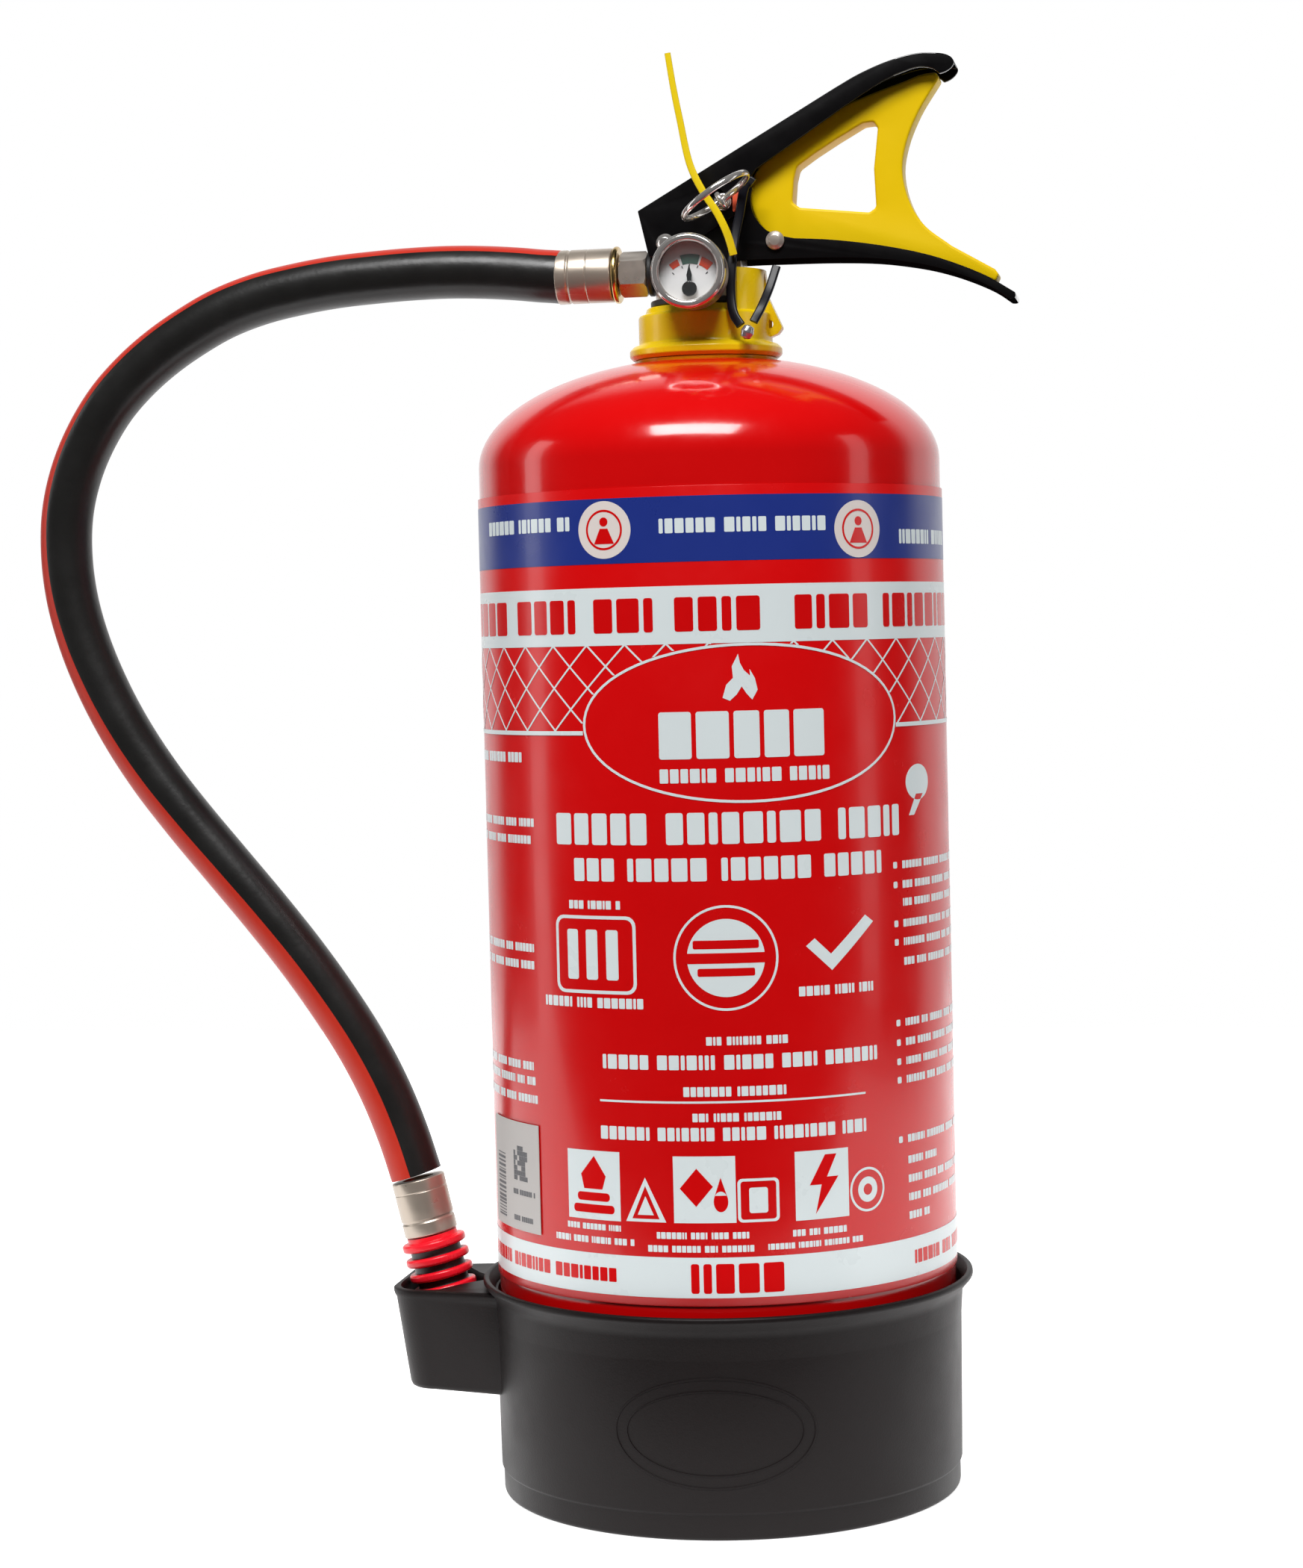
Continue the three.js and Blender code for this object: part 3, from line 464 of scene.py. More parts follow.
def add_hose():
    sides, rings, rings_per_step = 50, 300, 6
    line = smooth_line([(x, 0, z) for x, z in HOSE_ROUTE], rings)
    # the section starts at the outer side of the bend, so the stripe is its first and last few faces
    section = round_section(HOSE_R, sides, 0.5)
    hose = swept("hose_rubber", line, section, turn=stripe_turn)
    mesh = hose.data
    mesh.materials.append(MATERIALS["rubber"])
    mesh.materials.append(MATERIALS["stripe"])
    reach = STRIPE_SHARE * sides / 2
    for polygon in mesh.polygons[: rings * sides]:
        k = polygon.index % sides
        away = min(k + 1, sides - k - 1)
        polygon.material_index = 1 if away <= reach else 0
    done(hose, None, None, "hose", slot="rubber_black", sharp=40)
    path = [tuple(p * MM) for p in line[::rings_per_step]]
    return hose, path, path_length(line) * MM


hose, hose_path, hose_length = add_hose()
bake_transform(hose)

TETHER_ROUTE = [
    (20.2, -16.2, 451.4), (18.6, -16.2, 452.4), (17, -16.2, 449.6), (15.2, -16.2, 441), (13.6, -17.4, 433),
    (12.7, -20, 424), (12.4, -21.6, 413), (13.6, -23.4, 406.4), (16, -24.6, 402.6),
]
TETHER_RETURN = [(20.4, -24.6, 403.6), (22.6, -22.8, 408), (25, -18, 415), (27.2, -14, 423)]
STRAP_ROUTE = [
    (-7.1, -24, 495.5), (-5.3, -24, 483.4), (-3.4, -24, 473), (-0.2, -24, 457.4), (3.8, -24, 448.6),
    (8.8, -23.6, 440.6), (12, -23.2, 433.4), (13.8, -22.8, 426.6),
]


def add_straps():
    line = smooth_line(TETHER_ROUTE, 80)
    tether = swept("tether_strap_long", line, strap_section(3.2, 1.6))
    done(tether, "strap_black", None, "tether_strap")
    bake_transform(tether)
    back = smooth_line(TETHER_RETURN, 40)
    done(swept("tether_strap_back", back, strap_section(3.0, 1.6)), "strap_black", "root", "tether_return")
    tamper = smooth_line(STRAP_ROUTE, 90)
    strap = swept("tamper_strap_yellow", tamper, strap_section(2.5, 1.3),
        swell=lambda share: 0.84 + 0.24 * share)
    done(strap, "strap_yellow", "pin", "tamper_strap")


add_straps()

# ---- floor, light and the world


FLOOR = ((-900, -200), (600, 1300))  # two opposite corners
FLOOR_GLOW = 0.85


def add_stage():
    (x0, y0), (x1, y1) = FLOOR
    floor = mesh_object("floor", [(x0, y0, 0), (x1, y0, 0), (x1, y1, 0), (x0, y1, 0)], [[0, 1, 2, 3]])
    floor.data.transform(Matrix.Scale(MM, 4))
    shader = MATERIALS["floor"].node_tree.nodes["Principled BSDF"]
    shader.inputs["Emission Color"].default_value = (1, 1, 1, 1)
    shader.inputs["Emission Strength"].default_value = FLOOR_GLOW
    floor.data.materials.append(MATERIALS["floor"])


def add_light(name, place, aim, size, power):
    """A rectangular lamp. Place, aim and size are in metres, and power in watts."""
    data = bpy.data.lights.new(name, "AREA")
    data.shape = "RECTANGLE"
    data.size, data.size_y = size
    data.energy = power
    light = bpy.data.objects.new(name, data)
    bpy.context.collection.objects.link(light)
    place, aim = Vector(place), Vector(aim)
    light.location = place
    light.rotation_euler = (aim - place).to_track_quat("-Z", "Y").to_euler()


def add_lights():
    add_light("top_front", (0.0, -1.1, 1.75), (0, 0, 0.2), (1.1, 0.6), 43)
    add_light("left_side", (-1.5, -0.1, 0.5), (0, 0, 0.25), (0.3, 1.3), 3)
    add_light("right_side", (1.5, -0.1, 0.5), (0, 0, 0.25), (0.3, 1.3), 1.8)


def add_world():
    """White behind and beside the object, dark on the camera's side, plain white where the camera sees it."""
    world = bpy.data.worlds.new("studio")
    bpy.context.scene.world = world
    world.use_nodes = True
    nodes = Nodes(world.node_tree)
    background = world.node_tree.nodes["Background"]
    direction = nodes.add("ShaderNodeTexCoord").outputs["Generated"]
    y = nodes.add("ShaderNodeSeparateXYZ", Vector=direction).outputs["Y"]
    level = nodes.add("ShaderNodeMapRange", Value=y, From_Min=0.5, From_Max=0.68, To_Min=0.05, To_Max=0.95)
    seen = nodes.add("ShaderNodeLightPath").outputs["Is Camera Ray"]
    shown = nodes.add("ShaderNodeMix", {"data_type": "FLOAT"})
    nodes.feed(shown.inputs[0], seen)
    nodes.feed(shown.inputs[2], level.outputs["Result"])
    nodes.feed(shown.inputs[3], 1.0)
    nodes.feed(background.inputs["Strength"], shown.outputs[0])
    background.inputs["Color"].default_value = (1, 1, 1, 1)
    bpy.context.scene.view_settings.view_transform = "Standard"


add_stage()
add_lights()
add_world()

# ---- pressure vessel

VESSEL_R = node_box("cylinder_shell")[1][0]
WALL = 2.0
BOTTOM_Z, BOTTOM_RISE = 3.3, 34.0
SHOULDER_Z, HEAD_RISE = 357.0, 37.0
NECK_HOLE = 17.3


def vessel_profile(inset, steps=22):
    """The vessel's outline from the middle of its floor up to the neck hole, moved in by the inset."""
    points, r = [], VESSEL_R - inset
    for k in range(steps + 1):
        a = math.pi / 2 * k / steps
        points.append((r * math.sin(a), BOTTOM_Z + BOTTOM_RISE - (BOTTOM_RISE - inset) * math.cos(a)))
    neck = math.acos(NECK_HOLE / r)
    for k in range(steps + 1):
        a = neck * k / steps
        points.append((r * math.cos(a), SHOULDER_Z + (HEAD_RISE - inset) * math.sin(a)))
    return points


def add_vessel():
    shell = lathe("vessel_shell", vessel_profile(0) + vessel_profile(WALL)[::-1], segments=160)
    done(shell, "red", "root", "cylinder_shell", sharp=40)
    low, high = node_box("neck_ring")
    ring = [(12.4, low[2]), (17, low[2]), (17, high[2], 0.6), (12.4, high[2], 0.6)]
    done(lathe("neck_ring_boss", rounded(ring), segments=64), "red", "root", "neck_ring")


add_vessel()

# ---- printed label

LABEL_R = node_box("body_label")[1][0]
PRINT = 0.05  # the print's thickness


def wrapped(name, loops, material, level=0, step=2.5):
    """Flat outlines in degrees of azimuth and millimetres of height, with any holes as inner loops, are filled,
    cut fine enough to bend, thickened, and laid on the label."""
    scale = LABEL_R * math.pi / 180
    curve = bpy.data.curves.new(name, "CURVE")
    curve.dimensions = "2D"
    curve.fill_mode = "BOTH"
    for loop in loops:
        spline = curve.splines.new("POLY")
        spline.points.add(len(loop) - 1)
        for point, (az, z) in zip(spline.points, loop):
            point.co = (az * scale, z, 0, 1)
        spline.use_cyclic_u = True
    flat = bpy.data.objects.new(name, curve)
    bpy.context.collection.objects.link(flat)
    graph = bpy.context.evaluated_depsgraph_get()
    mesh = bpy.data.meshes.new_from_object(flat.evaluated_get(graph), depsgraph=graph)
    bpy.data.objects.remove(flat)
    bm = bmesh.new()
    bm.from_mesh(mesh)
    bmesh.ops.remove_doubles(bm, verts=bm.verts, dist=1e-4)
    xs = [v.co.x for v in bm.verts]
    cut = math.ceil(min(xs) / step) * step
    while cut < max(xs):
        everything = bm.verts[:] + bm.edges[:] + bm.faces[:]
        bmesh.ops.bisect_plane(bm, geom=everything, plane_co=(cut, 0, 0), plane_no=(1, 0, 0), dist=1e-4)
        cut += step
    lifted = bmesh.ops.extrude_face_region(bm, geom=bm.faces[:])
    top = {v for v in lifted["geom"] if isinstance(v, bmesh.types.BMVert)}
    base = LABEL_R + 0.02 + level * PRINT
    for v in bm.verts:
        radius = base + (PRINT if v in top else 0.0)
        angle = v.co.x / LABEL_R
        v.co = (radius * math.sin(angle), -radius * math.cos(angle), v.co.y)
    bmesh.ops.recalc_face_normals(bm, faces=bm.faces)
    bm.to_mesh(mesh)
    bm.free()
    obj = bpy.data.objects.new(name, mesh)
    bpy.context.collection.objects.link(obj)
    return done(obj, material, "root", sharp=60)


DEGREE = LABEL_R * math.pi / 180  # millimetres of label in one degree


def block(az0, az1, z0, z1, radius=0.0, steps=4):
    """A rectangle with rounded corners. The radius is in millimetres."""
    if not radius:
        return [(az0, z0), (az1, z0), (az1, z1), (az0, z1)]
    corners = [(az0 * DEGREE, z0, radius), (az1 * DEGREE, z0, radius), (az1 * DEGREE, z1, radius),
        (az0 * DEGREE, z1, radius)]
    return [(x / DEGREE, z) for x, z in rounded(corners, steps)]


def ellipse(az, z, across, high, count=72):
    """across and high are the semi-axes in millimetres."""
    turns = [2 * math.pi * k / count for k in range(count)]
    return [(az + across / DEGREE * math.cos(t), z + high * math.sin(t)) for t in turns]


def words(az0, az1, z, height, seed, gap=0.13, radius=0.07):
    """A line of greeked text: upright blocks in words of a few blocks each, with no letters in it."""
    draw = random.Random(seed)
    loops, left, end = [], az0 * DEGREE, az1 * DEGREE
    while left < end - height * 0.3:
        for _ in range(draw.randint(3, 8)):
            width = height * draw.choice((0.28, 0.55, 0.62, 0.7))
            right = min(left + width, end)
            if right - left > height * 0.2:
                loops.append(block(left / DEGREE, right / DEGREE, z - height / 2, z + height / 2,
                    height * radius, 2))
            left = right + height * gap
            if left >= end:
                break
        left += height * 0.5
    return loops


OVAL = {"az": 16.8, "z": 269.1, "across": 56.3, "high": 25.6}


def in_oval(az, z, grow=0.0):
    x = (az - OVAL["az"]) * DEGREE / (OVAL["across"] + grow)
    return x * x + ((z - OVAL["z"]) / (OVAL["high"] + grow)) ** 2 < 1


def lattice(way):
    """Diagonal wires under the broad band that all slope one way, kept clear of the oval."""
    top, bottom, pitch, start, end, half = 295.4, 267.0, 10.0, -162.0, 194.0, 0.42
    slope = way * pitch / 14.0  # degrees of azimuth for each millimetre down
    ribbons = []
    for k in range(round((end - start) / pitch)):
        apex = start + k * pitch
        run = []
        for step in range(61):
            z = top + (bottom - top) * step / 60
            az = apex + slope * (top - z)
            if in_oval(az, z, 0.3):
                break
            run.append((az, z))
        if len(run) > 1:
            (a0, z0), (a1, z1) = run[0], run[-1]
            ribbons.append([(a0 - half / DEGREE, z0), (a0 + half / DEGREE, z0), (a1 + half / DEGREE, z1),
                (a1 - half / DEGREE, z1)])
    return ribbons


BLUE_BAND_FOOT = 320.0  # millimetres up, just below the blue band


def full_band(z0, z1):
    return [(-165.0, z0), (194.9, z0), (194.9, z1), (-165.0, z1)]


FLAME = [
    (10.9, 277.4), (11.8, 281.6), (13.4, 283.8), (13.2, 287.6), (14.7, 291.6), (15.1, 288.6), (16.0, 286.2),
    (17.4, 284.4), (17.3, 286.6), (18.5, 283.6), (19.1, 279.8), (17.8, 276.6), (16.4, 278.8), (15.4, 281.0),
    (14.2, 278.4), (12.6, 276.4),
]


def add_label():
    film = [(LABEL_R - 0.3, 78), (LABEL_R, 78, 0.1), (LABEL_R, 346.5, 0.1), (LABEL_R - 0.3, 346.5)]
    done(lathe("label_film", rounded(film, 2), segments=160), "label_red", "root", "body_label")
    wrapped("label_blue_band", [full_band(321.9, 343.2)], "label_blue")
    wrapped("label_upper_band", [full_band(295.2, 314.1)], "label_white")
    wrapped("label_lower_band", [full_band(80.8, 94.2)], "label_white")
    left_line = [(-163, 265.9), (-23.6, 265.9), (-23.6, 267.3), (-163, 267.3)]
    right_line = [(57.2, 265.9), (196, 265.9), (196, 267.3), (57.2, 267.3)]
    wrapped("label_lattice_down", lattice(1), "label_white")
    wrapped("label_lattice_up", lattice(-1), "label_white", level=1)
    wrapped("label_lattice_foot", [left_line, right_line], "label_white", level=2)
    oval = [ellipse(OVAL["az"], OVAL["z"], OVAL["across"] + grow, OVAL["high"] + grow)
        for grow in (0.45, -0.45)]
    wrapped("label_oval", oval, "label_white", level=1)
    wrapped("label_flame", [FLAME], "label_white")
    add_label_text()
    add_label_marks()


def add_label_text():
    white = words(-4.2, 37.6, 265.4, 15.4, 11, gap=0.1, radius=0.05)
    white += words(-4.2, 37.6, 252.2, 4.6, 12)
    white += words(-32.4, 57.6, 235.0, 10.4, 13)
    white += words(-27.2, 51.6, 221.6, 7.6, 14)
    lines = [
        (-3.0, 37.0, 333.6, 4.8), (-59.6, -26.0, 335.4, 4.6), (60.0, 92.0, 329.2, 4.8),
        (-29.0, -14.8, 210.0, 2.8), (-37.6, -7.6, 177.6, 3.4), (27.4, 48.2, 180.6, 3.2),
        (5.2, 24.4, 165.4, 2.8), (-20.4, 48.4, 158.4, 4.8), (-0.4, 25.8, 148.8, 3.2), (1.6, 22.4, 140.3, 2.8),
        (-21.4, 44.6, 134.8, 4.4), (-32.0, -16.6, 103.0, 2.0), (-36.0, -13.2, 98.6, 2.2),
        (-7.6, 14.2, 101.4, 2.2), (-9.8, 15.6, 97.0, 2.2), (24.6, 38.4, 101.2, 2.2), (18.6, 43.8, 97.2, 2.0),
    ]
    # the columns of small print on the cylinder's left and right
    lines += [
        (-84.0, -44.9, 258.4, 3.4), (-92.0, -40.4, 236.6, 2.8), (-92.0, -40.2, 230.8, 2.8),
        (-88.0, -41.7, 194.4, 2.8), (-88.0, -41.8, 188.6, 2.8), (-92.0, -42.0, 154.4, 2.8),
        (-92.0, -42.5, 149.4, 2.8), (-92.0, -41.7, 143.2, 2.8),
    ]
    lines += [(58.6, 100.0, z, 2.6)
        for z in (219.8, 213.2, 207.2, 200.2, 194.0, 187.4, 167.0, 160.4, 154.0, 147.8, 127.8)]
    lines += [(58.6, end, z, 2.6) for end, z in ((72.0, 120.6), (96.0, 114.2), (90.0, 108.0), (68.0, 101.8))]
    on_blue = []
    for seed, (az0, az1, z, height) in enumerate(lines):
        here = on_blue if z > BLUE_BAND_FOOT else white
        here += words(az0, az1, z, height, 40 + seed)
    white += [block(55.2, 56.6, z - 1.1, z + 1.1, 0.5)
        for z in (219.8, 213.2, 200.2, 194.0, 167.0, 160.4, 154.0, 147.8, 127.8)]
    white.append(block(-21.4, 44.6, 145.0, 145.7))
    wrapped("label_white_print", white, "label_white")
    wrapped("label_blue_band_print", on_blue, "label_white", level=1)
    red = words(-75.0, 24.0, 304.8, 11.2, 21, gap=0.14) + words(28.4, 110.0, 304.8, 11.2, 22, gap=0.14)
    red += words(0.4, 26.6, 87.2, 9.8, 23, gap=0.14)
    red += words(-74.0, -15.6, 87.4, 4.6, 24) + words(60.4, 96.0, 87.4, 4.6, 25)
    wrapped("label_red_print", red, "label_red", level=1)


def add_label_marks():
    for side, (az, z) in enumerate(((-16.6, 333.0), (46.0, 331.6))):
        wrapped(f"label_disc_{side}", [ellipse(az, z, 9.6, 9.4)], "label_flesh", level=1)
        ring = [ellipse(az, z, 6.6, 6.6), ellipse(az, z, 5.9, 5.9)]
        drop = [ellipse(az, z + 2.6, 1.5, 1.5, 20)]
        skirt = [[(az - 2.6, z - 4.6), (az + 2.6, z - 4.6), (az + 1.0, z + 0.4), (az - 1.0, z + 0.4)]]
        wrapped(f"label_disc_mark_{side}", ring + drop + skirt, "label_red", level=2)
    # square, round and tick marks in a row
    marks = [block(-33.4, -11.0, 180.6, 206.4, 3.4), block(-32.6, -11.8, 181.7, 205.3, 2.6)]
    for k in range(3):
        marks.append(block(-29.8 + 5.5 * k, -26.6 + 5.5 * k, 185.2, 201.8, 0.8))
    marks += [ellipse(10.3, 192.6, r, r) for r in (17.3, 16.5, 12.8)]
    marks += [[(29.4, 195.4), (31.6, 197.8), (35.8, 192.4), (45.6, 204.4), (48.0, 202.0), (36.0, 187.0)]]
    # three hazard pictures with their class shapes beside them
    marks += [block(-31.5, -16.6, 105.4, 128.4), block(-3.3, 11.3, 105.6, 127.6),
        block(25.4, 39.2, 105.2, 128.0)]
    marks += [
        [(-15.2, 105.7), (-5.2, 105.7), (-10.2, 120.4)], [(-13.6, 106.7), (-6.8, 106.7), (-10.2, 117.6)],
        [(-12.2, 108.0), (-8.2, 108.0), (-10.2, 114.2)],
    ]
    marks += [block(11.7, 21.5, 105.6, 120.0, 1.6), block(12.4, 20.8, 106.5, 119.1, 1.0),
        block(14.4, 18.8, 108.6, 117.0, 0.8)]
    marks += [ellipse(44.7, 113.2, a, b) for a, b in ((7.2, 7.4), (6.4, 6.6), (4.0, 4.2), (1.8, 1.9))]
    marks += [ellipse(66.0, 247.0, 7.5, 6.0), [(61.8, 236.0), (64.0, 236.0), (68.4, 243.0), (65.0, 243.0)]]
    wrapped("label_marks", marks, "label_white")
    # red drawings inside the white shapes: logs, a drop and can, and a bolt
    red = [block(2.6, 18.0, 195.6, 198.4, 0.6), block(0.6, 20.0, 190.8, 194.2, 0.6),
        block(3.6, 17.0, 186.6, 189.2, 0.6)]
    red += [block(-29.8, -18.2, 107.6, 110.4, 1.2), block(-28.6, -19.4, 111.6, 114.4, 1.2),
        [(-26.6, 115.6), (-21.4, 115.6), (-20.4, 120.0), (-23.6, 126.6), (-27.4, 120.4)]]
    red += [[(-1.8, 117.0), (2.2, 123.6), (6.0, 117.6), (2.0, 111.0)], ellipse(7.8, 112.6, 2.4, 3.4, 24),
        [(6.4, 114.6), (9.2, 114.6), (7.8, 120.6)]]
    red += [[(33.0, 126.4), (29.0, 116.6), (32.0, 116.6), (30.4, 107.0), (36.4, 119.0), (33.4, 119.0),
        (36.0, 126.4)]]
    wrapped("label_red_drawings", red, "label_red", level=1)


add_label()


STICKER_AZ = (-68.0, -41.5)


def add_sticker():
    low, high = node_box("service_sticker")
    radius = LABEL_R + 0.4
    (az0, az1), z0, z1 = STICKER_AZ, low[2], high[2]
    verts, faces, steps = [], [], 24
    for k in range(steps + 1):
        angle = math.radians(az0 + (az1 - az0) * k / steps)
        for r in (radius - 0.1, radius + 0.12):
            for z in (z0, z1):
                verts.append((r * math.sin(angle), -r * math.cos(angle), z))
    for k in range(steps):
        a, b = 4 * k, 4 * k + 4
        faces += [[a + 2, b + 2, b + 3, a + 3], [a, a + 1, b + 1, b], [a, b, b + 2, a + 2],
            [a + 1, a + 3, b + 3, b + 1]]
    faces += [[0, 2, 3, 1], [4 * steps, 4 * steps + 1, 4 * steps + 3, 4 * steps + 2]]
    done(mesh_object("sticker_sheet", verts, faces), "sticker", "root", "service_sticker")
    draw = random.Random(7)
    ink = []
    az, z = az0 + 14.5, z1 - 20.0
    for row in range(7):
        for column in range(7):
            if draw.random() < 0.6:
                ink.append(
                    block(az + column * 1.0, az + column * 1.0 + 0.92, z + row * 1.7, z + row * 1.7 + 1.6))
    z = z0 + 3
    while z < z1 - 12:
        thick = draw.choice((0.35, 0.6, 0.9))
        ink.append(block(az0 + 3, az0 + 9, z, z + thick))
        z += thick + draw.choice((0.4, 0.7))
    for k in range(2):
        ink += words(az0 + 14, az1 - 2, z0 + 4 + 9 * k, 1.8, 90 + k)
    wrapped("sticker_print", ink, "sticker_ink", level=10)


add_sticker()

# ---- boot and its nozzle pocket

BOOT_R, BOOT_FOOT_R, BOOT_RIM_Z, BOOT_LIP_R, BOOT_INNER = 81.7, 80.3, 75.0, 86.0, 80.4
POCKET_Z = (35.2, 70.8)
POCKET_ROOT = (-74.0, 29.3)


def arc_points(x, y, radius, start, end, steps=8):
    """Points on a circle's arc, its angles in degrees."""
    angles = [math.radians(start + (end - start) * k / steps) for k in range(steps + 1)]
    return [(x + radius * math.cos(a), y + radius * math.sin(a)) for a in angles]


def lofted(name, lower, upper, levels):
    """A solid that blends from the lower plan to the upper. levels are (height, share of the upper, inset)."""
    verts, n = [], len(lower)
    for z, share, inset in levels:
        cx = sum(p[0] for p in lower) / n
        for (ax, ay), (bx, by) in zip(lower, upper):
            x, y = ax + (bx - ax) * share, ay + (by - ay) * share
            away = math.hypot(x - cx, y)
            verts.append((x - (x - cx) / away * inset, y - y / away * inset, z))
    return mesh_object(name, verts, tube_faces(len(levels), n))


def pocket_plan(left, front, corner=11.0):
    x, y = POCKET_ROOT
    near = arc_points(left + corner, corner - front, corner, -90, -180, 12)
    far = arc_points(left + corner, front - corner, corner, 180, 90, 12)
    return [(x, -y), *near, *far, (x, y)]


def hollow_plan(left, front, wall=2.4):
    edge = front - wall
    side = [(-85.8, 0), (-87.2, -3.2), (-92.6, -9.4), (-99.5, 1 - edge)]
    side += bezier((-99.5, 1 - edge), (-102, -edge), (-106, -edge), 4)
    side += bezier((-106, -edge), (left + wall, -edge), (left + wall, -7), 10)
    return side + [(x, -y) for x, y in side[:0:-1]]


def add_boot():
    r, foot, rim, lip, inner = BOOT_R, BOOT_FOOT_R, BOOT_RIM_Z, BOOT_LIP_R, BOOT_INNER
    cup = lathe("boot_moulding", rounded([
        (0, 0), (foot, 0, 1.4), (foot, 8.6, 0.6), (r - 0.7, 9.3, 0.8), (r, 60, 6), (r + 0.6, 69, 5),
        (lip, 73.2, 1.2), (lip - 0.2, rim, 0.9), (lip - 2.0, rim, 0.8), (r + 0.2, 71.4, 2), (inner, 66, 3),
        (inner, 36), (77, 22, 4), (66, 12, 6), (40, 3), (0, 3),
    ]), segments=192, closed=False)
    z0, z1 = POCKET_Z
    levels = [
        (z0, 0.0, 1.6), (z0 + 0.5, 0.02, 0.6), (z0 + 1.8, 0.05, 0.0), (z1 - 3.6, 0.9, 0.0), (z1 - 2.6, 0.94, -0.5),
        (z1 - 1.4, 0.97, -0.8), (z1 - 0.4, 1.0, -0.6), (z1, 1.0, 0.1),
    ]
    pocket = lofted("pocket", pocket_plan(-112.3, 22.5), pocket_plan(-117.0, 24.2), levels)
    levels = [(z0 + 1.5, 0.0, 0.0), (z1 - 2.0, 0.95, 0.0), (z1 - 0.8, 1.0, -0.3), (z1 + 0.4, 1.0, -1.0)]
    hollow = lofted("hollow", hollow_plan(-112.3, 22.5), hollow_plan(-117.5, 24.5), levels)
    bore = lathe("bore", [(0, z0 - 1), (inner + 0.5, z0 - 1), (inner + 0.5, rim + 1), (0, rim + 1)],
        segments=192, closed=False)
    pocket = combined(pocket, hollow, bore, operation="DIFFERENCE")
    done(combined(cup, pocket), "boot", "root", "base_boot", sharp=38)
    add_boot_oval()


def add_boot_oval():
    """Two low moulded ovals on the boot's front, one inside the other."""
    middle, height, across, high = 5.0, 36.0, 24.0, 18.3
    degree = 1.43  # millimetres of boot in one degree
    foot_z, taper_z = 9.3, 50.7
    for index, (grow, half) in enumerate(((0.0, 0.5), (-4.2, 0.3))):
        verts, faces, count = [], [], 96
        for k in range(count):
            t = 2 * math.pi * k / count
            for side, lift in ((-1, -0.2), (-0.5, 0.28), (0.5, 0.28), (1, -0.2)):
                az = math.radians(middle + (across + (grow + side * half) / degree) * math.cos(t))
                z = height + (high + grow + side * half) * math.sin(t)
                radius = BOOT_R - 0.7 + 0.7 * min(max((z - foot_z) / taper_z, 0), 1) + lift
                verts.append((radius * math.sin(az), -radius * math.cos(az), z))
        for k in range(count):
            a, b = 4 * k, 4 * ((k + 1) % count)
            faces += [[a + j, b + j, b + (j + 1) % 4, a + (j + 1) % 4] for j in range(4)]
        done(mesh_object(f"boot_oval_{index}", verts, faces), "boot", "root", sharp=60)


add_boot()

# ---- valve body and collar

OUTLET_Z, PIVOT, PIN, STUD = 424.0, (-11.3, 432.8), (9.2, 445.8), (26.4, 432.4)
GAUGE_Z = 420.6


def cylinder(name, radius, z0, z1, place=None, segments=64, edge=0.0):
    return lathe(name, rounded([(0, z0), (radius, z0, edge), (radius, z1, edge), (0, z1)], 3), place, segments,
        closed=False)


def add_valve():
    shaft = lathe("valve_forging", rounded([
        (0, 376), (12, 376, 0.6), (12, 411.6), (16.6, 411.9, 0.4), (17, 414.1), (17, 418, 0.9),
        (14, 418.4, 0.8), (14, 425.2, 1.2), (0, 425.2),
    ]), segments=96, closed=False)
    block = prism("block", [(-15.5, 423), (14, 423), (14, 437), (-15.5, 437)], -7.9, 7.9)
    turned_block = cylinder("round", 16.5, 422, 438)
    block = bevelled(combined(block, turned_block, operation="INTERSECT"), 0.6)
    outlet = cylinder("outlet", 7, 9.5, 17.2, at(z=OUTLET_Z) @ ALONG_MINUS_X, edge=0.6)
    boss = cylinder("boss", 5.2, -18.0, -10, along_y(0, GAUGE_Z), edge=0.3)
    body = combined(shaft, block, outlet, boss)
    pivot = cylinder("pivot", 2.6, -20, 20, along_y(*PIVOT))
    gland = cylinder("gland", 5.3, 428, 440)
    tail = cylinder("tail", 4.5, 14.6, 19, at(z=OUTLET_Z) @ ALONG_MINUS_X)
    stem = cylinder("stem", 6.3, 370, 401)
    body = combined(body, pivot, gland, tail, stem, operation="DIFFERENCE")
    done(body, "nickel", "root", "valve_body")
    gasket = [(12.3, 411.6), (18.8, 411.6, 0.5), (18.8, 413.8, 0.5), (12.3, 413.8)]
    done(lathe("neck_gasket_ring", rounded(gasket), segments=96), "seal_rubber", "root", "neck_gasket")


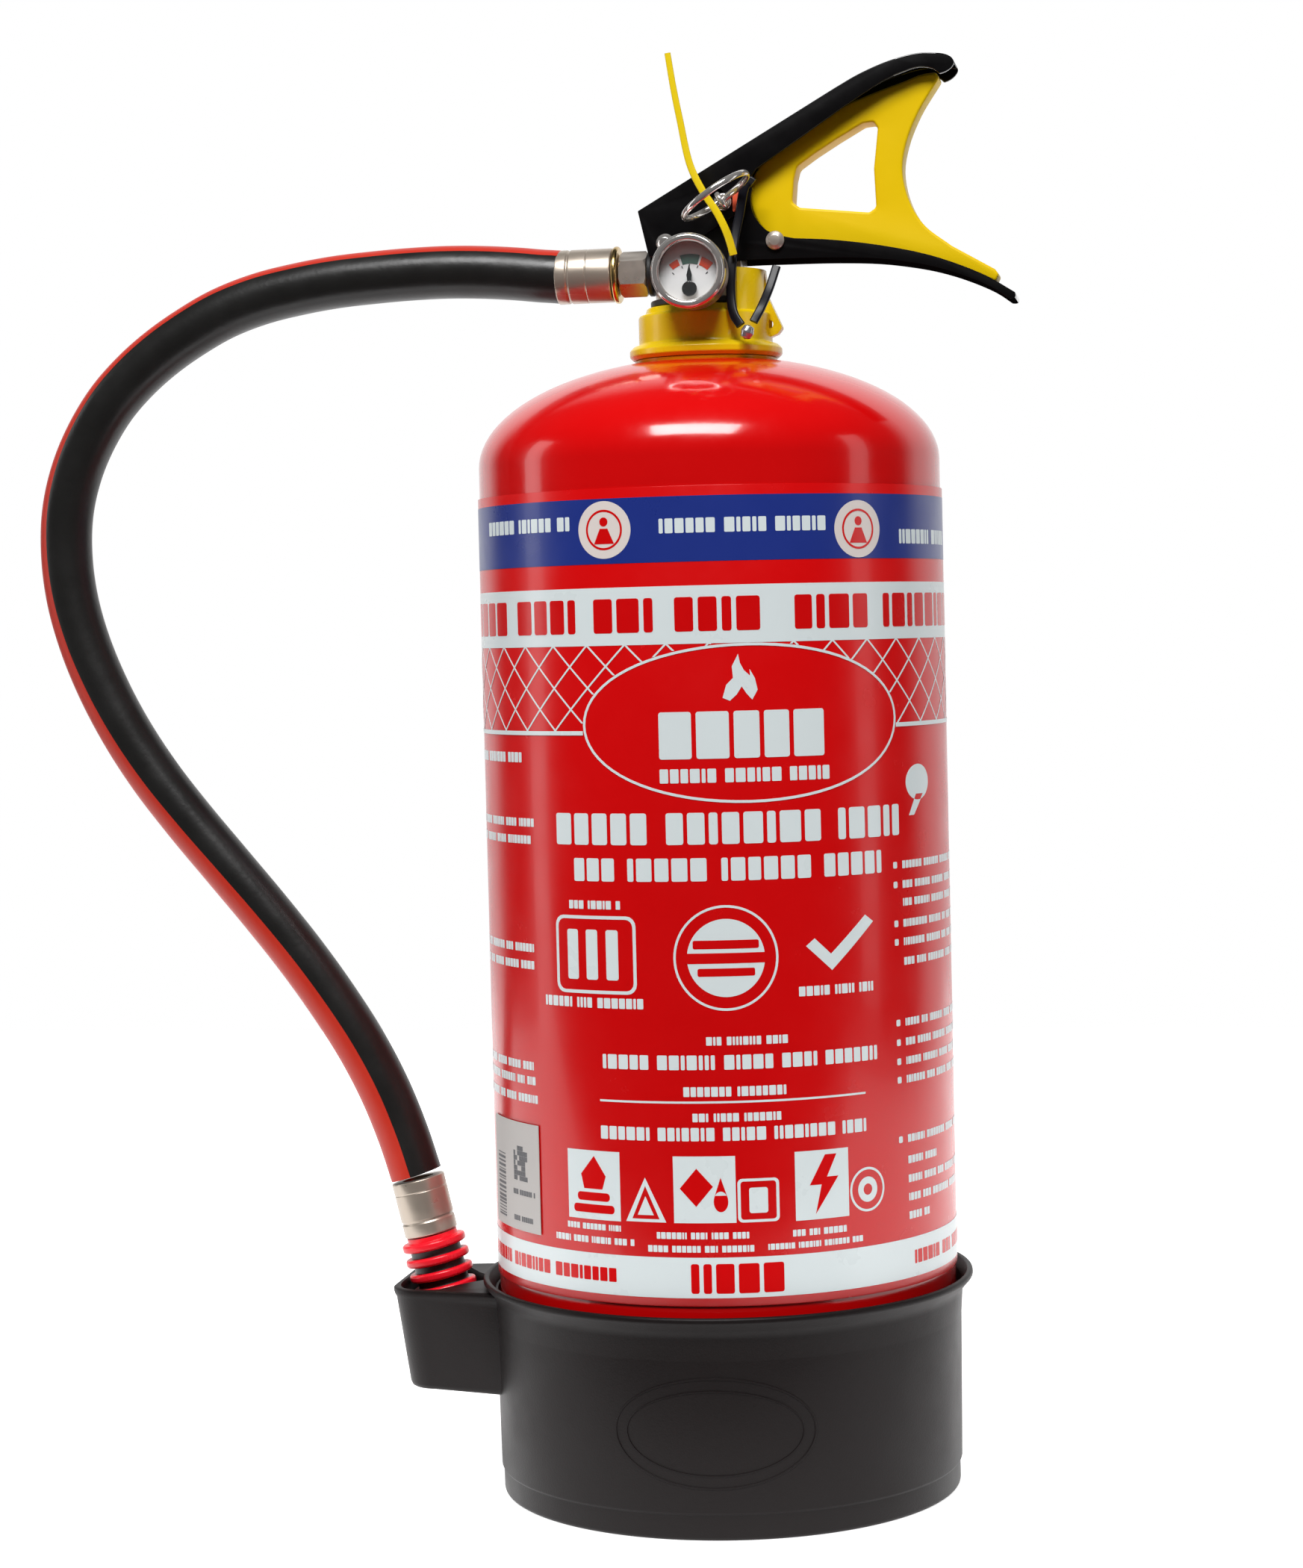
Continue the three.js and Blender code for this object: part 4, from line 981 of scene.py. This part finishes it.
def add_collar():
    body = lathe("neck_collar_moulding", rounded([
        (17.4, 393.4), (25.2, 393.4, 0.8), (26.5, 394.6, 0.9), (26.5, 396.6, 0.9), (25.0, 398.2, 0.8),
        (23.6, 398.0, 0.8), (23.2, 399, 0.4), (23.2, 408.6, 1.1), (20.9, 409.2, 0.6), (20.2, 411.3, 0.7),
        (12.3, 411.3), (12.3, 400.3), (17.4, 400.3),
    ]), segments=128)
    reach = 50
    wall = arc_points(0, 0, 21.6, -reach, reach, 30) + arc_points(0, 0, 19.6, reach, -reach, 30)
    verts = [(x, y, z) for z in (408.4, 423.3) for x, y in wall]
    n = len(wall)
    faces = [list(range(n - 1, -1, -1)), list(range(n, 2 * n))] + [[k, (k + 1) % n, (k + 1) % n + n,
        k + n] for k in range(n)]
    upright = mesh_object("upright", verts, faces)
    tab = prism("tab", rounded([
        (18, 398.6), (20.6, 399.3, 0.4), (25.6, 401.3, 1.0), (27.2, 403.3, 1.2), (22.4, 414, 1.5),
        (21.4, 423.3, 0.3), (20, 423.3), (20, 411), (18, 410),
    ]), -2.5, 2.5)
    tab_hole = cylinder("tab_hole", 1.5, -4, 4, along_y(22.6, 404.6), 32)
    collar = combined(combined(body, upright, tab), tab_hole, operation="DIFFERENCE")
    done(bevelled(collar, 0.3, 3, 38), "collar", "root", "neck_collar")
    # the band under the collar's flange
    band = lathe("collar_underband", rounded([(17.2, 391.4), (24.2, 391.6, 0.4), (24.8, 393.2, 0.2),
        (17.2, 393.2)]), segments=96)
    done(band, "collar", "root")


add_valve()
add_collar()

# ---- lever, handle and guard

LEVER_HALF, LEVER_SHEET = 12.0, 1.6
HANDLE_HALF, HANDLE_SHEET = 9.8, 1.6
GUARD_HALF = 6.0


def dipped(obj, from_x):
    """The end of a pressing beyond from_x, in metres, has the glossier skin of its dip coating."""
    obj.data.materials.append(MATERIALS["tip"])
    for polygon in obj.data.polygons:
        if polygon.center.x > from_x:
            polygon.material_index = 1


LEVER_REAR, LEVER_SLOPE = (-20.9, 444.3), 0.5574


def lever_top(x):
    return LEVER_REAR[1] + (x - LEVER_REAR[0]) * LEVER_SLOPE


def curve2(points, count=20):
    """A smooth line through (x, z) points."""
    return [(p.x, p.z) for p in smooth_line([(x, 0, z) for x, z in points], count)]


def lever_line(drop):
    start = (48, lever_top(48) - drop)
    rest = [(x, z - drop) for x, z in ((56.5, 487.1), (66.8, 491), (77, 493.2), (84, 493))]
    return curve2([start, *rest])


def pin_slot():
    """The pin's hole in the lever, drawn out along the arc that the pin makes as the lever turns."""
    squeeze = 12  # degrees
    dx, dz = PIN[0] - PIVOT[0], PIN[1] - PIVOT[1]
    reach, start, half = math.hypot(dx, dz), math.degrees(math.atan2(dz, dx)), 2.0
    end = start + squeeze
    ex, ez = PIVOT[0] + reach * math.cos(math.radians(end)), PIVOT[1] + reach * math.sin(math.radians(end))
    points = arc_points(*PIVOT, reach + half, start, end, 6) + arc_points(ex, ez, half, end, end + 180, 10)
    points += arc_points(*PIVOT, reach - half, end, start, 6)
    points += arc_points(*PIN, half, start + 180, start + 360, 10)
    return points


def add_lever():
    outer = [LEVER_REAR, *lever_line(0)]
    outer += bezier((84, 493), (88.6, 492.4), (88.8, 489.6)) + bezier((88.8, 489.6), (87.6, 486.8), (83.8, 486))
    outer += curve2([(83.8, 486), (81.6, 487.8), (76.7, 488.4), (71.9, 487.1), (65.7, 484.8), (59, 481),
        (51.3, 476.4)], 24)[1:]
    outer += [(20.6, 456.8)] + bezier((20.6, 456.8), (16, 450.5), (14, 442)) + bezier((14, 442), (8, 438.5),
        (3, 435.5))
    outer += bezier((3, 435.5), (-3, 427.4), (-11.3, 427.2)) + [(-17.4, 428.6)]
    below = LEVER_SHEET * math.hypot(1, LEVER_SLOPE)
    inner = [(-26.9, lever_top(-26.9) - below), *lever_line(below), (92, 489.6), (92, 420), (-26.9, 420)]
    inside = LEVER_HALF - LEVER_SHEET
    solid = prism("squeeze_lever_pressing", outer, -LEVER_HALF, LEVER_HALF)
    tools = [prism("inner", inner, -inside, inside), prism("slot", pin_slot(), -20, 20)]
    tools.append(cylinder("pivot", 2.55, -20, 20, along_y(*PIVOT), 40))
    lever = bevelled(combined(solid, *tools, operation="DIFFERENCE"), 0.55, 4, 28)
    done(lever, "black", "lever", "squeeze_lever", sharp=50)
    dipped(lever, 0.069)
    from_x, over, narrower = 0.068, 0.021, 0.26
    for vertex in lever.data.vertices:  # the tip is rounded in plan
        reach = max(vertex.co.x - from_x, 0) / over
        vertex.co.y *= 1 - narrower * reach * reach


HANDLE_LOW = [(45, 425.8), (60, 424.9), (70.4, 423.4), (80.5, 421.2), (90.6, 417.8), (100.6, 413.1)]


FACES_DOWN = -0.7  # the Z of a face's normal


def add_handle():
    low = curve2([(20, 426.2), *HANDLE_LOW, (105.8, 409.4)], 40)
    top = curve2([(107.9, 411.4), (98.2, 417.4), (85.7, 422.9), (75.6, 426.2), (60.4, 429.6), (45, 431.9),
        (33, 432.9)], 40)
    outer = [(-17, 426), *low] + bezier((105.8, 409.4), (108.8, 408.8), (107.9, 411.4))[:-1] + top
    outer += bezier((33, 432.9), (27, 434), (23.5, 436)) + bezier((23.5, 436), (16.4, 442), (18.8, 450.4), 10)
    outer += [(17.6, 451.8), (-16.4, 441.8)]
    lift = HANDLE_SHEET + 0.2
    inner_low = curve2(
        [(20, 426.2 + HANDLE_SHEET), *[(x, z + lift) for x, z in HANDLE_LOW], (104.5, 412.6)], 40)
    inner = [(16.5, 426.2 + HANDLE_SHEET), *inner_low, (104.5, 460), (-22, 460), (-22, 420), (16.5, 420)]
    inside = HANDLE_HALF - HANDLE_SHEET
    solid = prism("carry_handle_pressing", outer, -HANDLE_HALF, HANDLE_HALF)
    tools = [prism("inner", inner, -inside, inside)]
    for (x, z), radius in ((PIVOT, 2.55), (PIN, 1.8), (STUD, 1.2)):
        tools.append(cylinder("bore", radius, -20, 20, along_y(x, z), 40))
    handle = bevelled(combined(solid, *tools, operation="DIFFERENCE"), 0.5, 4, 28)
    done(handle, "black", "root", "carry_handle", sharp=50)
    dipped(handle, 0.099)
    # downward faces take the copy without reflection: painted shade where the enamel would mirror the floor
    handle.data.materials.append(MATERIALS["underside"])
    for polygon in handle.data.polygons:
        if polygon.normal.z < FACES_DOWN:
            polygon.material_index = 2


def add_guard():
    outer = curve2([(25.2, 428.8), (45, 428.2), (60, 427.3), (72, 425.6), (84, 422.6), (94, 418.9),
        (101.2, 415.6)], 30)
    outer += [(102.4, 418), (101, 419.9), (86.5, 428.4)]
    outer += curve2([(86.5, 428.4), (77.2, 435.9), (72.4, 444), (70.2, 454.5), (71.6, 463.5), (76, 474),
        (83.4, 485.4)], 30)[1:]
    outer += [(82.2, 487.4)] + curve2([(82.2, 487.4), (76.7, 486.7), (71.9, 485), (65.7, 483.1), (59, 480.9),
        (51.3, 478.2)], 16)[1:] + [(24.4, 461.6)]
    outer += bezier((24.4, 461.6), (17.8, 457), (17.4, 449)) + bezier((17.4, 449), (17.6, 440.5), (24, 434.2))
    window = rounded([
        (33.9, 457.6, 3), (32.8, 453.4, 3), (32.1, 445.6, 1.6), (34.6, 443.7, 1.6), (58.5, 441, 1.8),
        (60.9, 442.6, 1.8), (60.4, 455.8, 6), (62, 469.4, 1.4), (60.6, 471.6, 1.2), (56.9, 471.3, 3),
        (47.8, 466.3, 6), (40, 461.7, 4),
    ], 6)
    guard = prism("handle_guard_moulding", outer, -GUARD_HALF, GUARD_HALF)
    guard = combined(guard, prism("window", window, -20, 20), operation="DIFFERENCE")
    guard = bevelled(guard, 0.9, 4, 30)
    done(guard, "yellow", "guard", "handle_guard", sharp=50)


def add_fasteners():
    stud = rounded([(0, 8.2), (1, 8.2), (1, 10.1), (3.3, 10.1, 0.2), (3.1, 11, 0.4), (1.8, 11.8, 0.6), (0, 12)])
    done(lathe("stud_far", stud, along_y(*STUD), 48, False), "nickel", "root", "handle_stud_far")
    near = at(STUD[0], 0, STUD[1]) @ Matrix.Rotation(math.pi, 4, "Z") @ ALONG_Y
    done(lathe("stud_near", stud, near, 48, False), "nickel", "root", "handle_stud_near")
    head, shank, half = 3.2, 2.45, LEVER_HALF + 0.3
    pin = rounded([
        (0, -half - 2.6), (head * 0.55, -half - 2.5, 0.4), (head, -half - 1.2, 1.0), (head, -half, 0.2),
        (shank, -half), (shank, half), (head, half, 0.2), (head, half + 1, 0.5), (head * 0.5, half + 1.7, 0.4),
        (0, half + 1.7),
    ])
    done(lathe("pivot_rivet", pin, along_y(*PIVOT), 64, False), "chrome", "root", "lever_pivot_pin")


add_lever()
add_handle()
add_guard()
add_fasteners()

# ---- safety pin, ring, flag and seal

RING_R, RING_TILT, EYE_Y = 13.0, math.radians(33), -17.4


def add_safety_pin():
    x, z = PIN
    rod = rounded([(0, -15.2), (1.6, -15.2), (1.6, 13.5, 1), (0.8, 15.5, 0.4), (0, 15.5)])
    rod = lathe("safety_pin_rod", rod, along_y(x, z), 40, False)
    shoulder = cylinder("shoulder", 3.0, -14.8, -13.0, along_y(x, z), 40, 0.5)
    eye_turn = at(x, EYE_Y, z) @ Matrix.Rotation(math.pi / 2 - RING_TILT, 4, "Y")
    eye = lathe("eye", rounded([(1.7, -1, 0.5), (3.4, -1, 0.8), (3.4, 1, 0.8), (1.7, 1, 0.5)]), eye_turn, 40)
    done(combined(rod, shoulder, eye), "chrome", "pin", "safety_pin")
    section = [(RING_R + 0.75 * math.cos(t),
        1.15 * math.sin(t)) for t in (2 * math.pi * k / 16 for k in range(16))]
    place = at(x, EYE_Y - RING_R, z) @ Matrix.Rotation(-RING_TILT, 4, "Y")
    done(lathe("pull_ring_wire", section, place, 128), "chrome", "ring", "pull_ring", sharp=80)
    flag = prism("warning_flag", rounded([(12.6, 447.6, 0.3), (16.8, 450.2, 0.3), (15.6, 445.2, 0.3),
        (12.6, 441.8, 0.3)], 3), -14.4, -12.9)
    done(bevelled(flag, 0.2), "flag", "pin", "pin_flag")
    bead = rounded([(0, -2.6), (1.7, -2, 0.5), (2.3, 0, 1.0), (1.7, 2, 0.5), (0, 2.6)])
    place = at(18.2, -24.8, 400.2) @ Matrix.Rotation(0.4, 4, "Y")
    seal = lathe("tether_crimp", bead, place, 40, False)
    done(seal, "seal_clear", "root", "tether_seal")


add_safety_pin()

# ---- pressure gauge

HUB_Z, DIAL_R, CASE_R, BEZEL_R = 414.8, 10.6, 12.2, 12.7
GAUGE_BACK, GAUGE_LIP = -22.0, -35.0


def sector(inner, outer, start, end, centre_z, steps=14):
    """A dial zone between two radii, its angles in degrees from straight up, clockwise as the dial is seen."""
    turn = [90 - (start + (end - start) * k / steps) for k in range(steps + 1)]
    near = [(outer * math.cos(math.radians(t)), centre_z + outer * math.sin(math.radians(t))) for t in turn]
    return near + [(inner * math.cos(math.radians(t)),
        centre_z + inner * math.sin(math.radians(t))) for t in reversed(turn)]


def add_gauge():
    here = along_y(0, GAUGE_Z)
    case = rounded([
        (1.2, -18.1), (4, -18.1, 0.2), (4, GAUGE_BACK, 0.2), (10.7, GAUGE_BACK, 0.5), (CASE_R, -23.5, 1.2),
        (CASE_R, GAUGE_LIP, 0.2), (11.1, GAUGE_LIP, 0.2), (11.1, -23.6), (1.2, -23.6),
    ])
    done(lathe("gauge_case_cup", case, here, 96), "nickel", "root", "gauge_case")
    bezel = rounded([
        (10.0, -35.3, 0.1), (9.9, -36.2, 0.5), (10.5, -37.2, 0.7), (11.9, -37.3, 0.8), (12.7, -36.2, 0.8),
        (12.7, -31.6, 0.3), (12.5, -31.6), (12.5, -35.3),
    ], 6)
    done(lathe("gauge_bezel_ring", bezel, here, 128), "chrome", "root", "gauge_bezel", sharp=50)
    dial = cylinder("dial_plate", DIAL_R, -31.4, -30.8, here, 96, 0.1)
    hole = cylinder("shaft_hole", 0.7, -33, -29, along_y(0, HUB_Z), 24)
    done(combined(dial, hole, operation="DIFFERENCE"), "dial", "root", "gauge_dial")
    y0, y1 = -31.55, -31.4
    zones = [
        ("dial_zone_good", 8.6, 11.8, -16, 18, "dial_green"), ("dial_zone_low", 8.8, 11.0, -40, -22, "dial_red"),
        ("dial_zone_high", 8.6, 11.6, 22, 44, "dial_red"),
    ]
    for name, inner, outer, start, end, material in zones:
        zone = prism(name, rounded([(x, z, 0.0) for x, z in sector(inner, outer, start, end, HUB_Z)]), y0, y1)
        done(zone, material, "root")
    for k, turn in enumerate((-46, -19, 0, 20, 48)):
        tick = prism(f"dial_tick_{k}", sector(7.4, 8.3, turn - 0.9, turn + 0.9, HUB_Z, 2), y0, y1)
        done(tick, "strap_black", "root", slot="dial_white")
    lens = rounded([(0, -35), (DIAL_R + 0.2, -35, 0.1), (DIAL_R + 0.2, -34.2, 0.1), (0, -34.2)])
    done(lathe("gauge_lens_disc", lens, here, 96, False), "glass", "root", "gauge_lens")
    blade = [(-0.5, HUB_Z - 1), (0.5, HUB_Z - 1), (0.55, HUB_Z + 1.6), (0.95, HUB_Z + 4.6), (0, HUB_Z + 8.2),
        (-0.95, HUB_Z + 4.6), (-0.55, HUB_Z + 1.6)]
    needle = prism("needle_blade", blade, -33, -32.5)
    hub = cylinder("hub", 2.6, -33.4, -32.4, along_y(0, HUB_Z), 48, 0.3)
    shaft = cylinder("shaft", 0.5, -32.5, -29.6, along_y(0, HUB_Z), 16)
    done(combined(hub, needle, shaft), "tip", "needle", "gauge_needle")


add_gauge()

# ---- outlet and nozzle


def add_outlet():
    here = at(z=OUTLET_Z) @ ALONG_MINUS_X
    washer = rounded([(4.5, 17.5), (7.9, 17.5, 0.4), (7.9, 19.2, 0.4), (4.5, 19.2)])
    done(lathe("outlet_washer_ring", washer, here, 64), "seal_rubber", "root", "outlet_washer")
    corner, near, far = 7.95, 19.6, 29.2
    hexagon = cylinder("swivel_hex_nut", corner, near, far, None, 6)
    round_tool = lathe("round", [(4.5, near), (7.1, near), (corner, near + 0.8), (corner, far - 0.8),
        (7.1, far), (4.5, far)], segments=96)
    nut = combined(hexagon, round_tool, operation="INTERSECT")
    nut = bevelled(nut, 0.25, 3, 25)
    nut.data.transform(here)
    done(nut, "nickel", "nut", "swivel_nut", sharp=25)
    ring = rounded([(4.5, 29.6), (9.9, 29.6, 0.8), (9.9, 31.5, 0.8), (4.5, 31.5)], 6)
    done(lathe("ferrule_end_ring", ring, here, 96), "brass", "root", "ferrule_ring")
    r = 9.35
    sleeve = rounded([
        (4.5, 31.8), (r, 31.8, 0.6), (r, 40.4, 0.4), (r - 0.18, 40.7, 0.3), (r, 41.0, 0.4), (r, 46.6, 0.4),
        (r - 0.5, 47.2, 0.5), (r, 47.9, 0.4), (r, 51.6, 0.5), (4.5, 51.6),
    ])
    done(lathe("upper_crimp_ferrule", sleeve, here, 96), "ferrule", "root", "upper_ferrule", sharp=40)


NOZZLE_LEAN = math.radians(13)
NOZZLE_TOP = (-111.4, 106.5)


def add_nozzle():
    here = at(NOZZLE_TOP[0], 0, NOZZLE_TOP[1]) @ Matrix.Rotation(-NOZZLE_LEAN, 4,
        "Y") @ Matrix.Rotation(math.pi, 4, "X")
    sleeve = rounded([
        (5.6, 0), (9.5, 0, 0.5), (9.5, 4, 0.3), (9.35, 4.3, 0.3), (9.5, 4.6, 0.3), (9.5, 14, 0.4),
        (9, 14.7, 0.5), (9.5, 15.4, 0.4), (9.5, 20, 0.6), (5.6, 20),
    ])
    ferrule = lathe("nozzle_crimp_ferrule", sleeve, here, 96)
    done(ferrule, "ferrule", "nozzle", "lower_ferrule", sharp=40)
    start, pitch, count, rib, core = 22.2, 5.4, 4, 11.4, 9.0
    profile = [(2.6, 20.4), (core, 20.4), (core, start, 0.3)]
    for i in range(count):
        z = start + i * pitch
        profile += [(rib, z + 0.1, 0.9), (rib, z + 2.7, 0.9), (core, z + 3.2, 0.3)]
        if i < count - 1:
            profile.append((core, z + pitch, 0.3))
    tip = start + count * pitch
    profile += [(core - 0.4, tip + 4, 1.5), (7, tip + 24, 0.8), (6.2, tip + 26, 0.6), (4.2, tip + 26, 0.4),
        (2.6, tip + 12)]
    body = lathe("ribbed_nozzle", rounded(profile, 5), here, 96)
    body.data.materials.append(MATERIALS["nozzle"])
    body.data.materials.append(MATERIALS["nozzle_groove_shade"])
    axis = here.to_3x3() @ Vector((0, 0, 1))
    origin = here.translation
    # faces in the grooves between the ribs take the near-black second material: painted shade in the grooves
    for polygon in body.data.polygons:
        along = (polygon.center - origin).dot(axis)
        radius = ((polygon.center - origin) - axis * along).length
        between = radius < core + 0.35 and start + 1 < along < start + (count - 1) * pitch + 1
        polygon.material_index = 1 if between else 0
    done(body, None, "nozzle", "nozzle_body", slot="nozzle_red", sharp=45)
    return ferrule, body


add_outlet()
ferrule_piece, nozzle_piece = add_nozzle()

# ---- CAD nodes that stay, mostly inside

KEPT = {
    "powder_charge": "powder", "siphon_tube": "tube", "valve_stem": "nickel", "stem_seal": "seal_rubber",
    "gland_o_ring": "seal_rubber", "gland_nut": "brass", "bourdon_tube": "brass", "hose_tail": "brass",
    "nozzle_tail": "brass",
}


def add_valve_spring():
    """The coil spring under the stem's head."""
    wire, radius, turns, steps, travel = 0.5, 4.9, 5, 30, 4.5
    low, high = node_box("valve_spring")
    base, length = low[2] + wire, high[2] - low[2] - 2 * wire
    line = []
    for k in range(turns * steps + 1):
        angle = 2 * math.pi * k / steps
        line.append(Vector((radius * math.cos(angle), radius * math.sin(angle),
            base + length * k / (turns * steps))))
    coil = swept("valve_spring_coil", line, round_section(wire, 10), side=Vector((0, 0, 1)))
    done(coil, "chrome", "root", "valve_spring")
    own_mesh(coil)


add_valve_spring()


def finish_kept_nodes():
    for name, material in KEPT.items():
        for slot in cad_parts[name].material_slots:
            slot.link = "OBJECT"
            slot.material = MATERIALS[material]


finish_kept_nodes()
